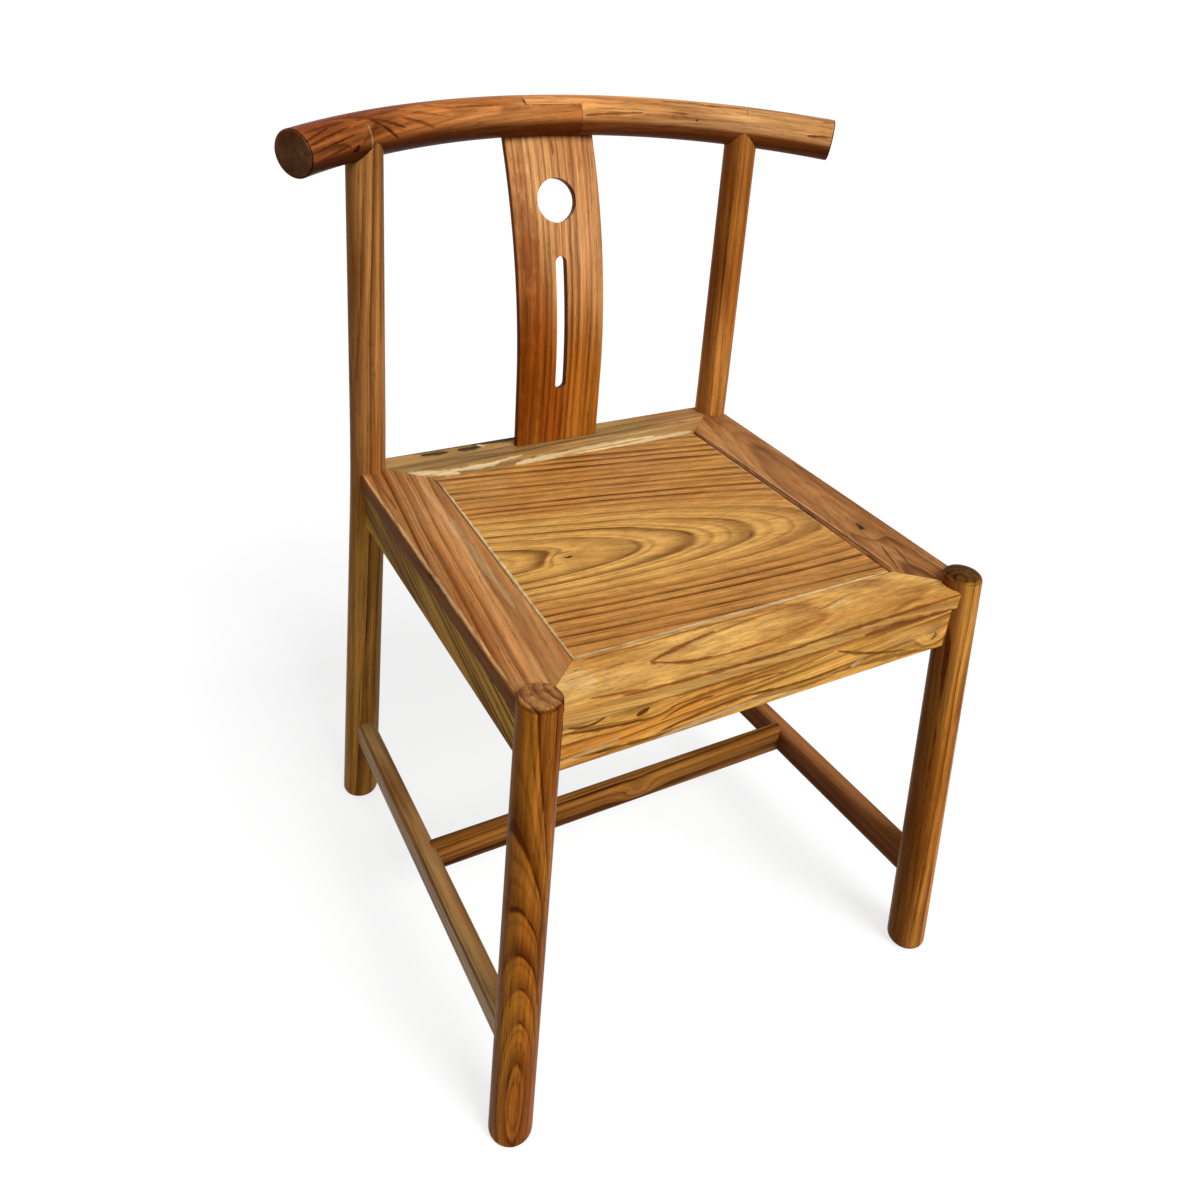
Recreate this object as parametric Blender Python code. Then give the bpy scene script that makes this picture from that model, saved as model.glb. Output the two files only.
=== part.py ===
"""Slat-back side chair in solid wood, built piece by piece with its real joints.

Metres, +Z up. The chair faces -Y, and left and right are those of someone who looks at its front.
"""
import math

import bmesh
import bpy
from mathutils import Matrix, Vector

# Seat frame: four mitred rails round a loose panel
seat_height = 0.4475
seat_front_width = 0.444
seat_rear_width = 0.434
seat_depth = 0.423
frame_thickness = 0.018
front_rail_width = 0.053
rear_rail_width = 0.060
side_rail_front_width = 0.0600
side_rail_rear_width = 0.0640
frame_edge_round = 0.0026
frame_inner_chamfer = 0.0016
frame_tenon_thickness = 0.006
frame_tenon_share = 0.6
frame_mortise_wall = 0.009

# Seat panel: its tongue slides in the rails' groove, and two battens hold it flat
panel_thickness = 0.012
panel_drop = 0.0006
panel_reveal = 0.0005
panel_edge_chamfer = 0.0012
panel_tongue_depth = 0.006
panel_tongue_thickness = 0.005
panel_lip_thickness = 0.0045
batten_spacing = 0.150
batten_width = 0.022
batten_depth = 0.016
batten_dovetail_depth = 0.004
batten_dovetail_flare = 0.002
batten_tenon_depth = 0.006
batten_tenon_share = 0.6

# Aprons under the rails
apron_height = 0.0425
apron_thickness = 0.016
apron_setback = 0.003
apron_edge_round = 0.002
apron_tenon_thickness = 0.008
apron_tenon_depth = 0.009
apron_tenon_share = 0.62

# Legs: places of their axes at seat height, splay of their feet, and diameters
leg_side_inset = 0.0118
front_leg_end_inset = 0.0126
rear_leg_end_inset = 0.0140
front_leg_splay_out = 0.0275
front_leg_splay_forward = 0.0412
rear_leg_splay_out = 0.0194
rear_leg_splay_back = 0.0251
front_leg_rise = 0.0103
front_leg_foot_diameter = 0.0396
front_leg_top_diameter = 0.0350
rear_leg_foot_diameter = 0.0394
rear_leg_seat_diameter = 0.0344
rear_post_top_diameter = 0.0324
rear_post_lean_in = 0.0086
rear_leg_bend_reach = 0.060
foot_edge_round = 0.0070
leg_top_round = 0.0026
leg_top_crown = 0.0009
post_tenon_diameter = 0.018
post_tenon_depth = 0.014

# Stretchers: one on each side, and a cross one that joins their middles
stretcher_axis_height = 0.1043
stretcher_width = 0.0200
stretcher_height = 0.0335
stretcher_edge_round = 0.0060
stretcher_tenon_width = 0.010
stretcher_tenon_height = 0.020
stretcher_tenon_depth = 0.012
cross_stretcher_width = 0.0175
cross_stretcher_height = 0.0338
cross_stretcher_place = -0.0035
cross_tenon_depth = 0.009

# Crest rail: a round bar bent back in the middle, scarfed from two lengths above the splat
crest_axis_height = 0.7660
crest_bend_radius = 0.465
crest_tilt = math.radians(7.4)
crest_setback = 0.003
crest_middle_diameter = 0.0364
crest_end_diameter = 0.0390
crest_left_reach = 0.2668
crest_right_reach = 0.2767
crest_end_round = 0.0015
scarf_length = 0.058
scarf_place = -0.0015
scarf_lean = math.radians(41.5)
scarf_pin_diameter = 0.006
scarf_pin_length = 0.013
scarf_pin_spacing = 0.028

# Splat: a board bent back towards the crest rail, pierced by a round hole and a slot
splat_width = 0.0958
splat_thickness = 0.008
splat_edge_round = 0.0020
splat_rear_setback = 0.0205
splat_straight_height = 0.070
splat_tenon_width = 0.070
splat_tenon_thickness = 0.005
splat_foot_tenon_depth = 0.011
splat_top_tenon_depth = 0.008
splat_hole_diameter = 0.042
splat_hole_share = 0.8125
splat_slot_width = 0.0122
splat_slot_bottom_share = 0.1965
splat_slot_top_share = 0.6495

# Fits and counts
fit_gap = 0.0003
cut_overrun = 0.004
leg_segments = 28
crest_segments = 28
crest_rings = 14
splat_stations = 15
splat_round_steps = 2
round_steps = 3

# Colours of the oiled and lacquered wood: linear red, green and blue, then roughness
crest_finish = ((0.335, 0.110, 0.030), 0.34)
splat_finish = ((0.350, 0.130, 0.036), 0.34)
leg_finish = ((0.215, 0.082, 0.024), 0.36)
frame_finish = ((0.300, 0.115, 0.030), 0.34)
apron_finish = ((0.330, 0.135, 0.036), 0.36)
panel_finish = ((0.430, 0.180, 0.042), 0.33)
stretcher_finish = ((0.120, 0.045, 0.016), 0.38)
inner_finish = ((0.330, 0.190, 0.085), 0.60)

# Sizes worked out from the driving ones
left, right = -1, 1
frame_underside = seat_height - frame_thickness
front_edge = -seat_depth / 2
rear_edge = seat_depth / 2
front_half = seat_front_width / 2
rear_half = seat_rear_width / 2
opening_front = front_edge + front_rail_width
opening_rear = rear_edge - rear_rail_width
opening_front_half = front_half - side_rail_front_width
opening_rear_half = rear_half - side_rail_rear_width
panel_top = seat_height - panel_drop
panel_underside = panel_top - panel_thickness
tongue_top = panel_top - panel_lip_thickness
tongue_underside = tongue_top - panel_tongue_thickness
frame_middle = seat_height - frame_thickness / 2
apron_underside = frame_underside - apron_height
apron_top = frame_underside - fit_gap
apron_middle = (apron_underside + apron_top) / 2
batten_top = frame_underside - fit_gap
batten_middle = batten_top - batten_depth / 2
post_spread = rear_half - leg_side_inset - rear_post_lean_in
post_place = rear_edge - rear_leg_end_inset
crest_sagitta = crest_bend_radius - math.sqrt(crest_bend_radius ** 2 - post_spread ** 2)
crest_apex_place = post_place + crest_setback + crest_sagitta * math.cos(crest_tilt)
post_top_height = crest_axis_height - crest_sagitta * math.sin(crest_tilt)
crest_underside = crest_axis_height - crest_middle_diameter / 2
splat_free_height = crest_underside - seat_height
splat_foot_place = rear_edge - splat_rear_setback
splat_bend_height = seat_height + splat_straight_height
splat_rise = crest_underside - splat_bend_height
splat_sweep = crest_apex_place - splat_foot_place
splat_bend_radius = (splat_rise ** 2 + splat_sweep ** 2) / (2 * splat_sweep)
splat_top_angle = math.asin(splat_rise / splat_bend_radius)


# Helpers that place and shape solids

def clear_scene():
    for thing in list(bpy.data.objects):
        bpy.data.objects.remove(thing, do_unlink=True)


def make_material(name, finish):
    colour, roughness = finish
    material = bpy.data.materials.new(name)
    material.use_nodes = True
    shader = material.node_tree.nodes["Principled BSDF"]
    shader.inputs["Base Color"].default_value = (*colour, 1)
    shader.inputs["Roughness"].default_value = roughness
    shader.inputs["Metallic"].default_value = 0
    material.diffuse_color = (*colour, 1)
    return material


def add_object(name, bm, finish=None, origin=(0, 0, 0)):
    """Makes a piece with a finish, or a hidden cutting tool without one, about its origin."""
    bmesh.ops.recalc_face_normals(bm, faces=bm.faces)
    bmesh.ops.translate(bm, verts=bm.verts, vec=-Vector(origin))
    mesh = bpy.data.meshes.new(name)
    bm.to_mesh(mesh)
    bm.free()
    thing = bpy.data.objects.new(name, mesh)
    thing.location = origin
    bpy.context.scene.collection.objects.link(thing)
    if finish:
        mesh.materials.append(make_material(name + "_finish", finish))
        thing.parent = bpy.data.objects["side_chair"]
    else:
        thing.hide_render = True
        thing.display_type = "WIRE"
    return thing


def shade_round(thing):
    """Smooths the four-sided faces of a round piece, and leaves its flat ends flat."""
    for face in thing.data.polygons:
        face.use_smooth = len(face.vertices) == 4
    return thing


def shape_with(thing, tool, operation):
    change = thing.modifiers.new(operation.lower() + " " + tool.name, "BOOLEAN")
    change.operation = operation
    change.solver = "EXACT"
    change.object = tool


def cut(thing, *tools):
    for tool in tools:
        shape_with(thing, tool, "DIFFERENCE")


def join_on(thing, *tools):
    for tool in tools:
        shape_with(thing, tool, "UNION")


def ring_matrix(centre, side, along):
    """Places a circle square to one direction, with its first axis on another."""
    turn = Matrix((side, along.cross(side), along)).transposed().to_4x4()
    return Matrix.Translation(centre) @ turn


def loft_rings(stations, segments):
    """Bridges circles, given as matrix and radius, into one closed round bar."""
    bm = bmesh.new()
    last = len(stations) - 1
    loops = []
    for index, (matrix, radius) in enumerate(stations):
        ring = bmesh.ops.create_circle(
            bm, cap_ends=index in (0, last), segments=segments, radius=radius, matrix=matrix)
        loops.append({edge for vert in ring["verts"] for edge in vert.link_edges})
    for lower, upper in zip(loops, loops[1:]):
        bmesh.ops.bridge_loops(bm, edges=list(lower | upper))
    return bm


def loft_outlines(rings):
    """Joins outlines of equally many points into one closed solid."""
    bm = bmesh.new()
    loops = [[bm.verts.new(point) for point in ring] for ring in rings]
    for lower, upper in zip(loops, loops[1:]):
        for index in range(len(lower)):
            following = (index + 1) % len(lower)
            bm.faces.new((lower[index], lower[following], upper[following], upper[index]))
    bm.faces.new(loops[0][::-1])
    bm.faces.new(loops[-1])
    return bm


def extrude_outline(points, run):
    """Fills a closed outline of points in space and extrudes it by a vector."""
    bm = bmesh.new()
    face = bm.faces.new([bm.verts.new(point) for point in points])
    grown = bmesh.ops.extrude_face_region(bm, geom=[face])["geom"]
    moved = [item for item in grown if isinstance(item, bmesh.types.BMVert)]
    bmesh.ops.translate(bm, verts=moved, vec=run)
    return bm


def prism(outline, bottom, top):
    """Extrudes an outline of (x, y) points from one height to another."""
    return extrude_outline([(x, y, bottom) for x, y in outline], (0, 0, top - bottom))


def box(low, high):
    outline = [(low[0], low[1]), (high[0], low[1]), (high[0], high[1]), (low[0], high[1])]
    return prism(outline, low[2], high[2])


def level_edges_between(bm, start, end):
    """Finds the level edges that stand above each other between two (x, y) points."""
    def at(vert, place):
        return math.hypot(vert.co.x - place[0], vert.co.y - place[1]) < fit_gap / 2
    return [e for e in bm.edges
            if (at(e.verts[0], start) and at(e.verts[1], end))
            or (at(e.verts[0], end) and at(e.verts[1], start))]


def soften(bm, edges, width, steps=round_steps):
    bmesh.ops.bevel(bm, geom=list(edges), offset=width, segments=steps, profile=0.5, affect="EDGES")


def bar_between(name, start, end, width, height, finish=None, edge_round=0):
    """Lays a straight bar from start to end, its width level, placed by location and rotation."""
    start, end = Vector(start), Vector(end)
    run = end - start
    half = run.length / 2
    bm = box((-half, -width / 2, -height / 2), (half, width / 2, height / 2))
    if edge_round:
        soften(bm, [e for e in bm.edges if e.calc_length() > half], edge_round)
    thing = add_object(name, bm, finish)
    thing.location = (start + end) / 2
    thing.rotation_euler = run.to_track_quat("X", "Z").to_euler()
    return thing


def core_between(name, start, end, width, height, start_trim, end_trim, grow=0):
    """The bar inside a piece whose two ends are its tenons, or their mortises when it is grown."""
    start, end = Vector(start), Vector(end)
    along = (end - start).normalized()
    return bar_between(name, start + along * (start_trim - grow), end - along * (end_trim - grow),
                       width + grow * 2, height + grow * 2)


def side_name(side):
    return "left" if side < 0 else "right"


# Legs

def front_leg_place(side, height):
    """Centre of a front leg at a height: straight, and splayed out and forward at its foot."""
    seat_place = Vector((side * (front_half - leg_side_inset), front_edge + front_leg_end_inset))
    splay = Vector((side * front_leg_splay_out, -front_leg_splay_forward))
    return seat_place + splay * (1 - height / seat_height)


def rear_leg_place(side, height):
    """Centre of a rear leg at a height: it bends at the seat from its splay into the post."""
    seat_place = Vector((side * (rear_half - leg_side_inset), rear_edge - rear_leg_end_inset))
    lower_slope = Vector((side * -rear_leg_splay_out, -rear_leg_splay_back)) / seat_height
    upper_slope = Vector((side * -rear_post_lean_in, 0)) / (post_top_height - seat_height)
    above = height - seat_height
    if above >= rear_leg_bend_reach:
        return seat_place + upper_slope * above
    into_bend = max(0, above + rear_leg_bend_reach)
    turned = (upper_slope - lower_slope) * into_bend ** 2 / (4 * rear_leg_bend_reach)
    return seat_place + lower_slope * above + turned


def front_leg_radius(height):
    share = height / seat_height
    return (front_leg_foot_diameter + (front_leg_top_diameter - front_leg_foot_diameter) * share) / 2


def rear_leg_radius(height):
    if height <= seat_height:
        share = height / seat_height
        low, high = rear_leg_foot_diameter, rear_leg_seat_diameter
    else:
        share = (height - seat_height) / (post_top_height - seat_height)
        low, high = rear_leg_seat_diameter, rear_post_top_diameter
    return (low + (high - low) * share) / 2


def leg_station(place, radius, height):
    centre = Vector((place.x, place.y, height))
    return ring_matrix(centre, Vector((1, 0, 0)), Vector((0, 0, 1))), radius


def foot_stations(place_at, radius_at, side):
    """Rounds the arris of a foot that stands flat on the floor."""
    stations = []
    for step in range(round_steps + 1):
        turn = math.pi / 2 * step / round_steps
        height = foot_edge_round * (1 - math.cos(turn))
        radius = radius_at(height) - foot_edge_round * (1 - math.sin(turn))
        stations.append(leg_station(place_at(side, height), radius, height))
    return stations


def leg_top_stations(side):
    """Rounds the arris of a front leg's end grain and gives it a slight crown."""
    crown_share = 0.45
    stations = []
    top = seat_height + front_leg_rise
    for step in range(round_steps + 1):
        turn = math.pi / 2 * step / round_steps
        height = top - leg_top_round * (1 - math.sin(turn))
        radius = front_leg_radius(height) - leg_top_round * (1 - math.cos(turn))
        stations.append(leg_station(front_leg_place(side, height), radius, height))
    stations.append(leg_station(front_leg_place(side, top), front_leg_radius(top) * crown_share,
                                top + leg_top_crown))
    return stations


def rear_leg_heights():
    """Spaces a rear leg's rings closely only where it bends, and ends inside the crest rail."""
    bend_shares = (-1, -0.6, -0.2, 0.2, 0.6, 1)
    return [seat_height + rear_leg_bend_reach * share for share in bend_shares] + [post_top_height]


def leg_space(side, is_front):
    """The room that a leg takes up with its fitting gap, for what is shaped round it."""
    place_at = front_leg_place if is_front else rear_leg_place
    radius_at = front_leg_radius if is_front else rear_leg_radius
    top = seat_height + front_leg_rise + cut_overrun
    heights = [-cut_overrun, top] if is_front else [-cut_overrun] + rear_leg_heights()
    stations = [leg_station(place_at(side, h), radius_at(h) + fit_gap, h) for h in heights]
    end = "front" if is_front else "rear"
    return add_object(f"{end}_leg_space_{side_name(side)}", loft_rings(stations, leg_segments))


def make_front_leg(side, mortises):
    stations = foot_stations(front_leg_place, front_leg_radius, side) + leg_top_stations(side)
    foot = (*front_leg_place(side, 0), 0)
    leg = add_object(f"front_leg_{side_name(side)}", loft_rings(stations, leg_segments),
                     leg_finish, foot)
    shade_round(leg)
    cut(leg, *mortises)
    return leg


def make_rear_leg(side, mortises, crest_room):
    """One post from the floor to the crest rail, where its shoulder is scribed to the round."""
    stations = foot_stations(rear_leg_place, rear_leg_radius, side)
    stations += [leg_station(rear_leg_place(side, h), rear_leg_radius(h), h)
                 for h in rear_leg_heights()]
    foot = (*rear_leg_place(side, 0), 0)
    leg = add_object(f"rear_leg_{side_name(side)}", loft_rings(stations, leg_segments),
                     leg_finish, foot)
    shade_round(leg)
    cut(leg, crest_room)
    join_on(leg, post_tenon(side))
    cut(leg, *mortises)
    return leg


def post_tenon(side, grow=0):
    """The round tenon on a rear post, or its socket in the crest rail when it is grown."""
    shoulder = post_top_height - crest_middle_diameter / 2
    low = shoulder - post_tenon_depth - grow
    high = shoulder + post_tenon_depth + grow
    stations = [leg_station(rear_leg_place(side, h), post_tenon_diameter / 2 + grow, h)
                for h in (low, high)]
    use = "socket" if grow else "tenon"
    return add_object(f"post_{use}_{side_name(side)}", loft_rings(stations, leg_segments // 2))


# Crest rail

def crest_frame(across):
    """Centre and direction of the crest rail's axis at a distance from the chair's middle."""
    angle = math.asin(across / crest_bend_radius)
    back = Vector((0, math.cos(crest_tilt), math.sin(crest_tilt)))
    apex = Vector((0, crest_apex_place, crest_axis_height))
    bend_centre = apex - back * crest_bend_radius
    outward = Vector((math.sin(angle), 0, 0)) + back * math.cos(angle)
    along = Vector((math.cos(angle), 0, 0)) - back * math.sin(angle)
    return bend_centre + outward * crest_bend_radius, along


def crest_radius(across):
    """The crest rail swells from its middle to its ends."""
    share = abs(across) / max(crest_left_reach, crest_right_reach)
    return (crest_middle_diameter + (crest_end_diameter - crest_middle_diameter) * share ** 2) / 2


def crest_station(across, grow=0):
    centre, along = crest_frame(across)
    upright = Vector((0, -math.sin(crest_tilt), math.cos(crest_tilt)))
    return ring_matrix(centre, upright, along), crest_radius(across) + grow


def crest_bar(start, end, grow=0, rings=crest_rings):
    """Lofts the bent bar between two distances from the chair's middle."""
    places = [start + (end - start) * step / rings for step in range(rings + 1)]
    return [crest_station(place, grow) for place in places]


def rounded_end(place, towards_middle):
    """Three rings that round the sawn end of the crest rail."""
    inner = crest_end_round * (1 - math.sin(math.pi / 4))
    return [crest_station(place, -crest_end_round),
            crest_station(place + towards_middle * inner, -inner),
            crest_station(place + towards_middle * crest_end_round)]


def crest_space():
    """The room that the whole crest rail takes up with its fitting gap."""
    stations = crest_bar(-crest_left_reach, crest_right_reach, fit_gap, crest_rings * 2)
    return add_object("crest_space", loft_rings(stations, crest_segments))


def scarf_tool(side, low, high, whole):
    """Cuts a crest length at the scarf: all of it, or only the half that its partner takes."""
    reach = crest_end_diameter
    floor = -reach if whole else -fit_gap / 2
    bm = box((low, -reach, floor), (high, reach, reach))
    part = "end" if whole else "lap"
    tool = add_object(f"scarf_{part}_{side_name(side)}", bm)
    centre, _ = crest_frame(scarf_place)
    tool.location = (0, centre.y, centre.z)
    upper_half = -scarf_lean
    lower_half = math.pi - scarf_lean
    tool.rotation_euler = (upper_half if side < 0 else lower_half, 0, 0)
    return tool


def scarf_pin(side, grow=0):
    """One of two short pins square to the scarf's plane, or its blind hole when it is grown."""
    centre, _ = crest_frame(scarf_place)
    middle = Vector((scarf_place + side * scarf_pin_spacing / 2, centre.y, centre.z))
    across_lap = Vector((0, math.sin(scarf_lean), math.cos(scarf_lean)))
    half = scarf_pin_length / 2 + grow
    stations = [(ring_matrix(middle + across_lap * reach, Vector((1, 0, 0)), across_lap),
                 scarf_pin_diameter / 2 + grow) for reach in (-half, half)]
    bm = loft_rings(stations, leg_segments // 2)
    if grow:
        return add_object(f"scarf_pin_hole_{side_name(side)}", bm)
    return shade_round(add_object(f"crest_scarf_pin_{side_name(side)}", bm, inner_finish, middle))


def make_crest_length(side, tools):
    """One length of the crest rail, from its free end to its tongue in the scarf."""
    scarf_low = scarf_place - scarf_length / 2
    scarf_high = scarf_place + scarf_length / 2
    beyond = crest_end_diameter * 3
    if side < 0:
        stations = rounded_end(-crest_left_reach, right)
        stations += crest_bar(-crest_left_reach + crest_end_round, scarf_high + cut_overrun)[1:]
        end_cut = scarf_tool(side, scarf_high - fit_gap / 2, beyond, True)
        lap_cut = scarf_tool(side, scarf_low - fit_gap / 2, beyond, False)
    else:
        stations = crest_bar(scarf_low - cut_overrun, crest_right_reach - crest_end_round)[:-1]
        stations += reversed(rounded_end(crest_right_reach, left))
        end_cut = scarf_tool(side, -beyond, scarf_low + fit_gap / 2, True)
        lap_cut = scarf_tool(side, -beyond, scarf_high + fit_gap / 2, False)
    length = add_object(f"crest_rail_{side_name(side)}", loft_rings(stations, crest_segments),
                        crest_finish, crest_frame(side * post_spread)[0])
    shade_round(length)
    cut(length, end_cut, lap_cut, *tools)
    return length


# Splat

def splat_frame(height):
    """Place of the splat's middle plane at a height, and its angle from upright."""
    above = max(0, height - splat_bend_height)
    angle = math.asin(above / splat_bend_radius)
    return splat_foot_place + splat_bend_radius * (1 - math.cos(angle)), angle


def splat_places():
    """Place, height and angle of each station: foot, bend, and the head inside the crest rail."""
    places = [(splat_foot_place, seat_height + fit_gap, 0)]
    for step in range(splat_stations + 1):
        height = splat_bend_height + splat_rise * step / splat_stations
        place, angle = splat_frame(height)
        places.append((place, height, angle))
    places.append((crest_apex_place, crest_axis_height, splat_top_angle))
    return places


def splat_ring(place, height, angle):
    """The board's section with its rounded arrises, square to the curve that it follows."""
    out = Vector((0, math.cos(angle), -math.sin(angle)))
    across = Vector((splat_width / 2 - splat_edge_round, 0, 0))
    through = out * (splat_thickness / 2 - splat_edge_round)
    points = []
    for quarter, (side, face) in enumerate(((right, 1), (left, 1), (left, -1), (right, -1))):
        corner = Vector((0, place, height)) + across * side + through * face
        for step in range(splat_round_steps + 1):
            turn = math.pi / 2 * (quarter + step / splat_round_steps)
            round_out = Vector((math.cos(turn), 0, 0)) + out * math.sin(turn)
            points.append(corner + round_out * splat_edge_round)
    return points


def pierce_matrix(share):
    """Stands a cutting tool square to the splat's face, part of the way from seat to crest rail."""
    height = seat_height + splat_free_height * share
    place, angle = splat_frame(height)
    turn = Matrix.Rotation(math.pi / 2 - angle, 4, "X")
    return Matrix.Translation((0, place, height)) @ turn


def splat_hole_tool():
    matrix = pierce_matrix(splat_hole_share)
    reach = Vector((0, 0, splat_thickness))
    stations = [(matrix @ Matrix.Translation(reach * end), splat_hole_diameter / 2)
                for end in (-1, 1)]
    return add_object("splat_hole_tool", loft_rings(stations, leg_segments + leg_segments // 3))


def splat_slot_tool():
    """A slot with round ends, as long as its two shares of the free height say."""
    middle_share = (splat_slot_bottom_share + splat_slot_top_share) / 2
    length = splat_free_height * (splat_slot_top_share - splat_slot_bottom_share)
    straight = (length - splat_slot_width) / 2
    radius = splat_slot_width / 2
    points = []
    for end, first in ((1, 0), (-1, math.pi)):
        for step in range(round_steps * 3 + 1):
            turn = first + math.pi * step / (round_steps * 3)
            points.append((radius * math.cos(turn), end * straight + radius * math.sin(turn)))
    reach = splat_thickness * 2
    tool = add_object("splat_slot_tool", prism(points, -reach, reach))
    tool.matrix_world = pierce_matrix(middle_share)
    return tool


def splat_foot_tenon(grow=0):
    width = splat_tenon_width / 2 + grow
    thickness = splat_tenon_thickness / 2 + grow
    bm = box((-width, splat_foot_place - thickness, seat_height - splat_foot_tenon_depth - grow),
             (width, splat_foot_place + thickness, seat_height + cut_overrun))
    return add_object("splat_foot_mortise" if grow else "splat_foot_tenon", bm)


def splat_top_tenon(grow=0):
    """The straight tenon that follows the splat's last slope into the crest rail."""
    lean = Vector((0, math.sin(splat_top_angle), math.cos(splat_top_angle)))
    entry = Vector((0, crest_apex_place, crest_underside))
    reach = splat_top_tenon_depth + grow
    bm = box((-splat_tenon_width / 2 - grow, -splat_tenon_thickness / 2 - grow, -reach),
             (splat_tenon_width / 2 + grow, splat_tenon_thickness / 2 + grow, reach))
    tool = add_object("splat_top_mortise" if grow else "splat_top_tenon", bm)
    tool.location = entry
    tool.rotation_euler = lean.to_track_quat("Z", "Y").to_euler()
    return tool


def make_splat(crest_room):
    bm = loft_outlines([splat_ring(*place) for place in splat_places()])
    splat = add_object("back_splat", bm, splat_finish)
    cut(splat, splat_hole_tool(), splat_slot_tool(), crest_room)
    join_on(splat, splat_foot_tenon(), splat_top_tenon())
    return splat


# Seat frame and panel

def opening_outline(grow):
    """The seat frame's opening, grown or shrunk evenly."""
    front, rear = opening_front - grow, opening_rear + grow
    front_reach, rear_reach = opening_front_half + grow, opening_rear_half + grow
    return [(-front_reach, front), (front_reach, front), (rear_reach, rear), (-rear_reach, rear)]


def panel_groove():
    bm = prism(opening_outline(panel_tongue_depth), tongue_underside - fit_gap, tongue_top + fit_gap)
    return add_object("panel_groove", bm)


def frame_corner_space(side, is_front):
    """The corner of the frame beyond a leg's axis, which is notched away so that the leg fills it."""
    place_at = front_leg_place if is_front else rear_leg_place
    place = place_at(side, seat_height)
    corner_x = side * (front_half if is_front else rear_half)
    corner_y = front_edge if is_front else rear_edge
    far_x = corner_x + math.copysign(cut_overrun, corner_x)
    far_y = corner_y + math.copysign(cut_overrun, corner_y)
    bm = box((min(place.x, far_x), min(place.y, far_y), frame_underside - cut_overrun),
             (max(place.x, far_x), max(place.y, far_y), seat_height + cut_overrun))
    end = "front" if is_front else "rear"
    return add_object(f"frame_corner_{end}_{side_name(side)}", bm)


def frame_tenon(is_front, grow=0):
    """The core of a front or rear rail whose two ends are its tenons in the side rails."""
    if is_front:
        rail_width, inset, half = front_rail_width, front_leg_end_inset, front_half
        seat_radius = front_leg_radius(seat_height)
    else:
        rail_width, inset, half = rear_rail_width, rear_leg_end_inset, rear_half
        seat_radius = rear_leg_radius(seat_height)
    land = rail_width - panel_tongue_depth - inset - seat_radius - fit_gap
    width = land * frame_tenon_share
    from_opening = panel_tongue_depth + (land - width) / 2
    if is_front:
        low = opening_front - from_opening - width
    else:
        low = opening_rear + from_opening
    reach = half - frame_mortise_wall + grow
    rise = frame_tenon_thickness / 2 + grow
    bm = box((-reach, low - grow, frame_middle - rise), (reach, low + width + grow, frame_middle + rise))
    use = "mortise" if grow else "tenon"
    return add_object(f"frame_{use}_{'front' if is_front else 'rear'}", bm)


def seat_rail(name, outer, inner):
    """A mitred rail with rounded outer arrises and a small chamfer beside the panel."""
    bm = prism([*outer, *reversed(inner)], frame_underside, seat_height)
    soften(bm, level_edges_between(bm, *outer), frame_edge_round)
    upper_inner = [e for e in level_edges_between(bm, *inner) if e.verts[0].co.z > frame_middle]
    soften(bm, upper_inner, frame_inner_chamfer, 1)
    return add_object(name, bm, frame_finish)


def make_end_rail(is_front, tools):
    """The front or rear rail, drawn in at its mitres by the fitting gap."""
    mitre_gap = fit_gap * math.sqrt(2)
    if is_front:
        name, outer_y, inner_y = "seat_rail_front", front_edge, opening_front
        outer_half, inner_half = front_half - mitre_gap, opening_front_half - mitre_gap
    else:
        name, outer_y, inner_y = "seat_rail_rear", rear_edge, opening_rear
        outer_half, inner_half = rear_half - mitre_gap, opening_rear_half - mitre_gap
    rail = seat_rail(name, [(-outer_half, outer_y), (outer_half, outer_y)],
                     [(-inner_half, inner_y), (inner_half, inner_y)])
    cut(rail, *tools)
    join_on(rail, frame_tenon(is_front))
    return rail


def make_side_rail(side, tools):
    rail = seat_rail(f"seat_rail_{side_name(side)}",
                     [(side * front_half, front_edge), (side * rear_half, rear_edge)],
                     [(side * opening_front_half, opening_front),
                      (side * opening_rear_half, opening_rear)])
    cut(rail, *tools)
    return rail


def batten_rib(side, grow=0):
    """The batten's upper part: a rib between the rails with a dovetail in the panel."""
    centre = side * batten_spacing / 2
    neck = batten_width / 2 - batten_dovetail_flare + grow
    flare = batten_width / 2 + grow
    foot = batten_top - batten_depth / 4
    top = panel_underside + batten_dovetail_depth + grow
    start = opening_front + fit_gap - grow * 3
    end = opening_rear - fit_gap + grow * 3
    section = [(-neck, foot), (neck, foot), (neck, panel_underside), (flare, top), (-flare, top),
               (-neck, panel_underside)]
    bm = extrude_outline([(centre + x, start, z) for x, z in section], (0, end - start, 0))
    use = "groove" if grow else "rib"
    return add_object(f"batten_{use}_{side_name(side)}", bm)


def batten_line(side):
    """Ends of a batten, face to face with the front and rear aprons."""
    centre = side * batten_spacing / 2
    face = apron_setback + apron_thickness
    return (Vector((centre, front_edge + face, batten_middle)),
            Vector((centre, rear_edge - face, batten_middle)))


def batten_core(side, grow=0):
    start, end = batten_line(side)
    use = "mortise" if grow else "tenon"
    return core_between(f"batten_{use}_{side_name(side)}", start, end,
                        batten_width * batten_tenon_share, batten_depth * batten_tenon_share,
                        -batten_tenon_depth, -batten_tenon_depth, grow)


def make_batten(side):
    start, end = batten_line(side)
    shoulder = Vector((0, fit_gap, 0))
    batten = bar_between(f"seat_batten_{side_name(side)}", start + shoulder, end - shoulder,
                         batten_width, batten_depth, inner_finish)
    join_on(batten, batten_rib(side), batten_core(side))
    return batten


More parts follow.
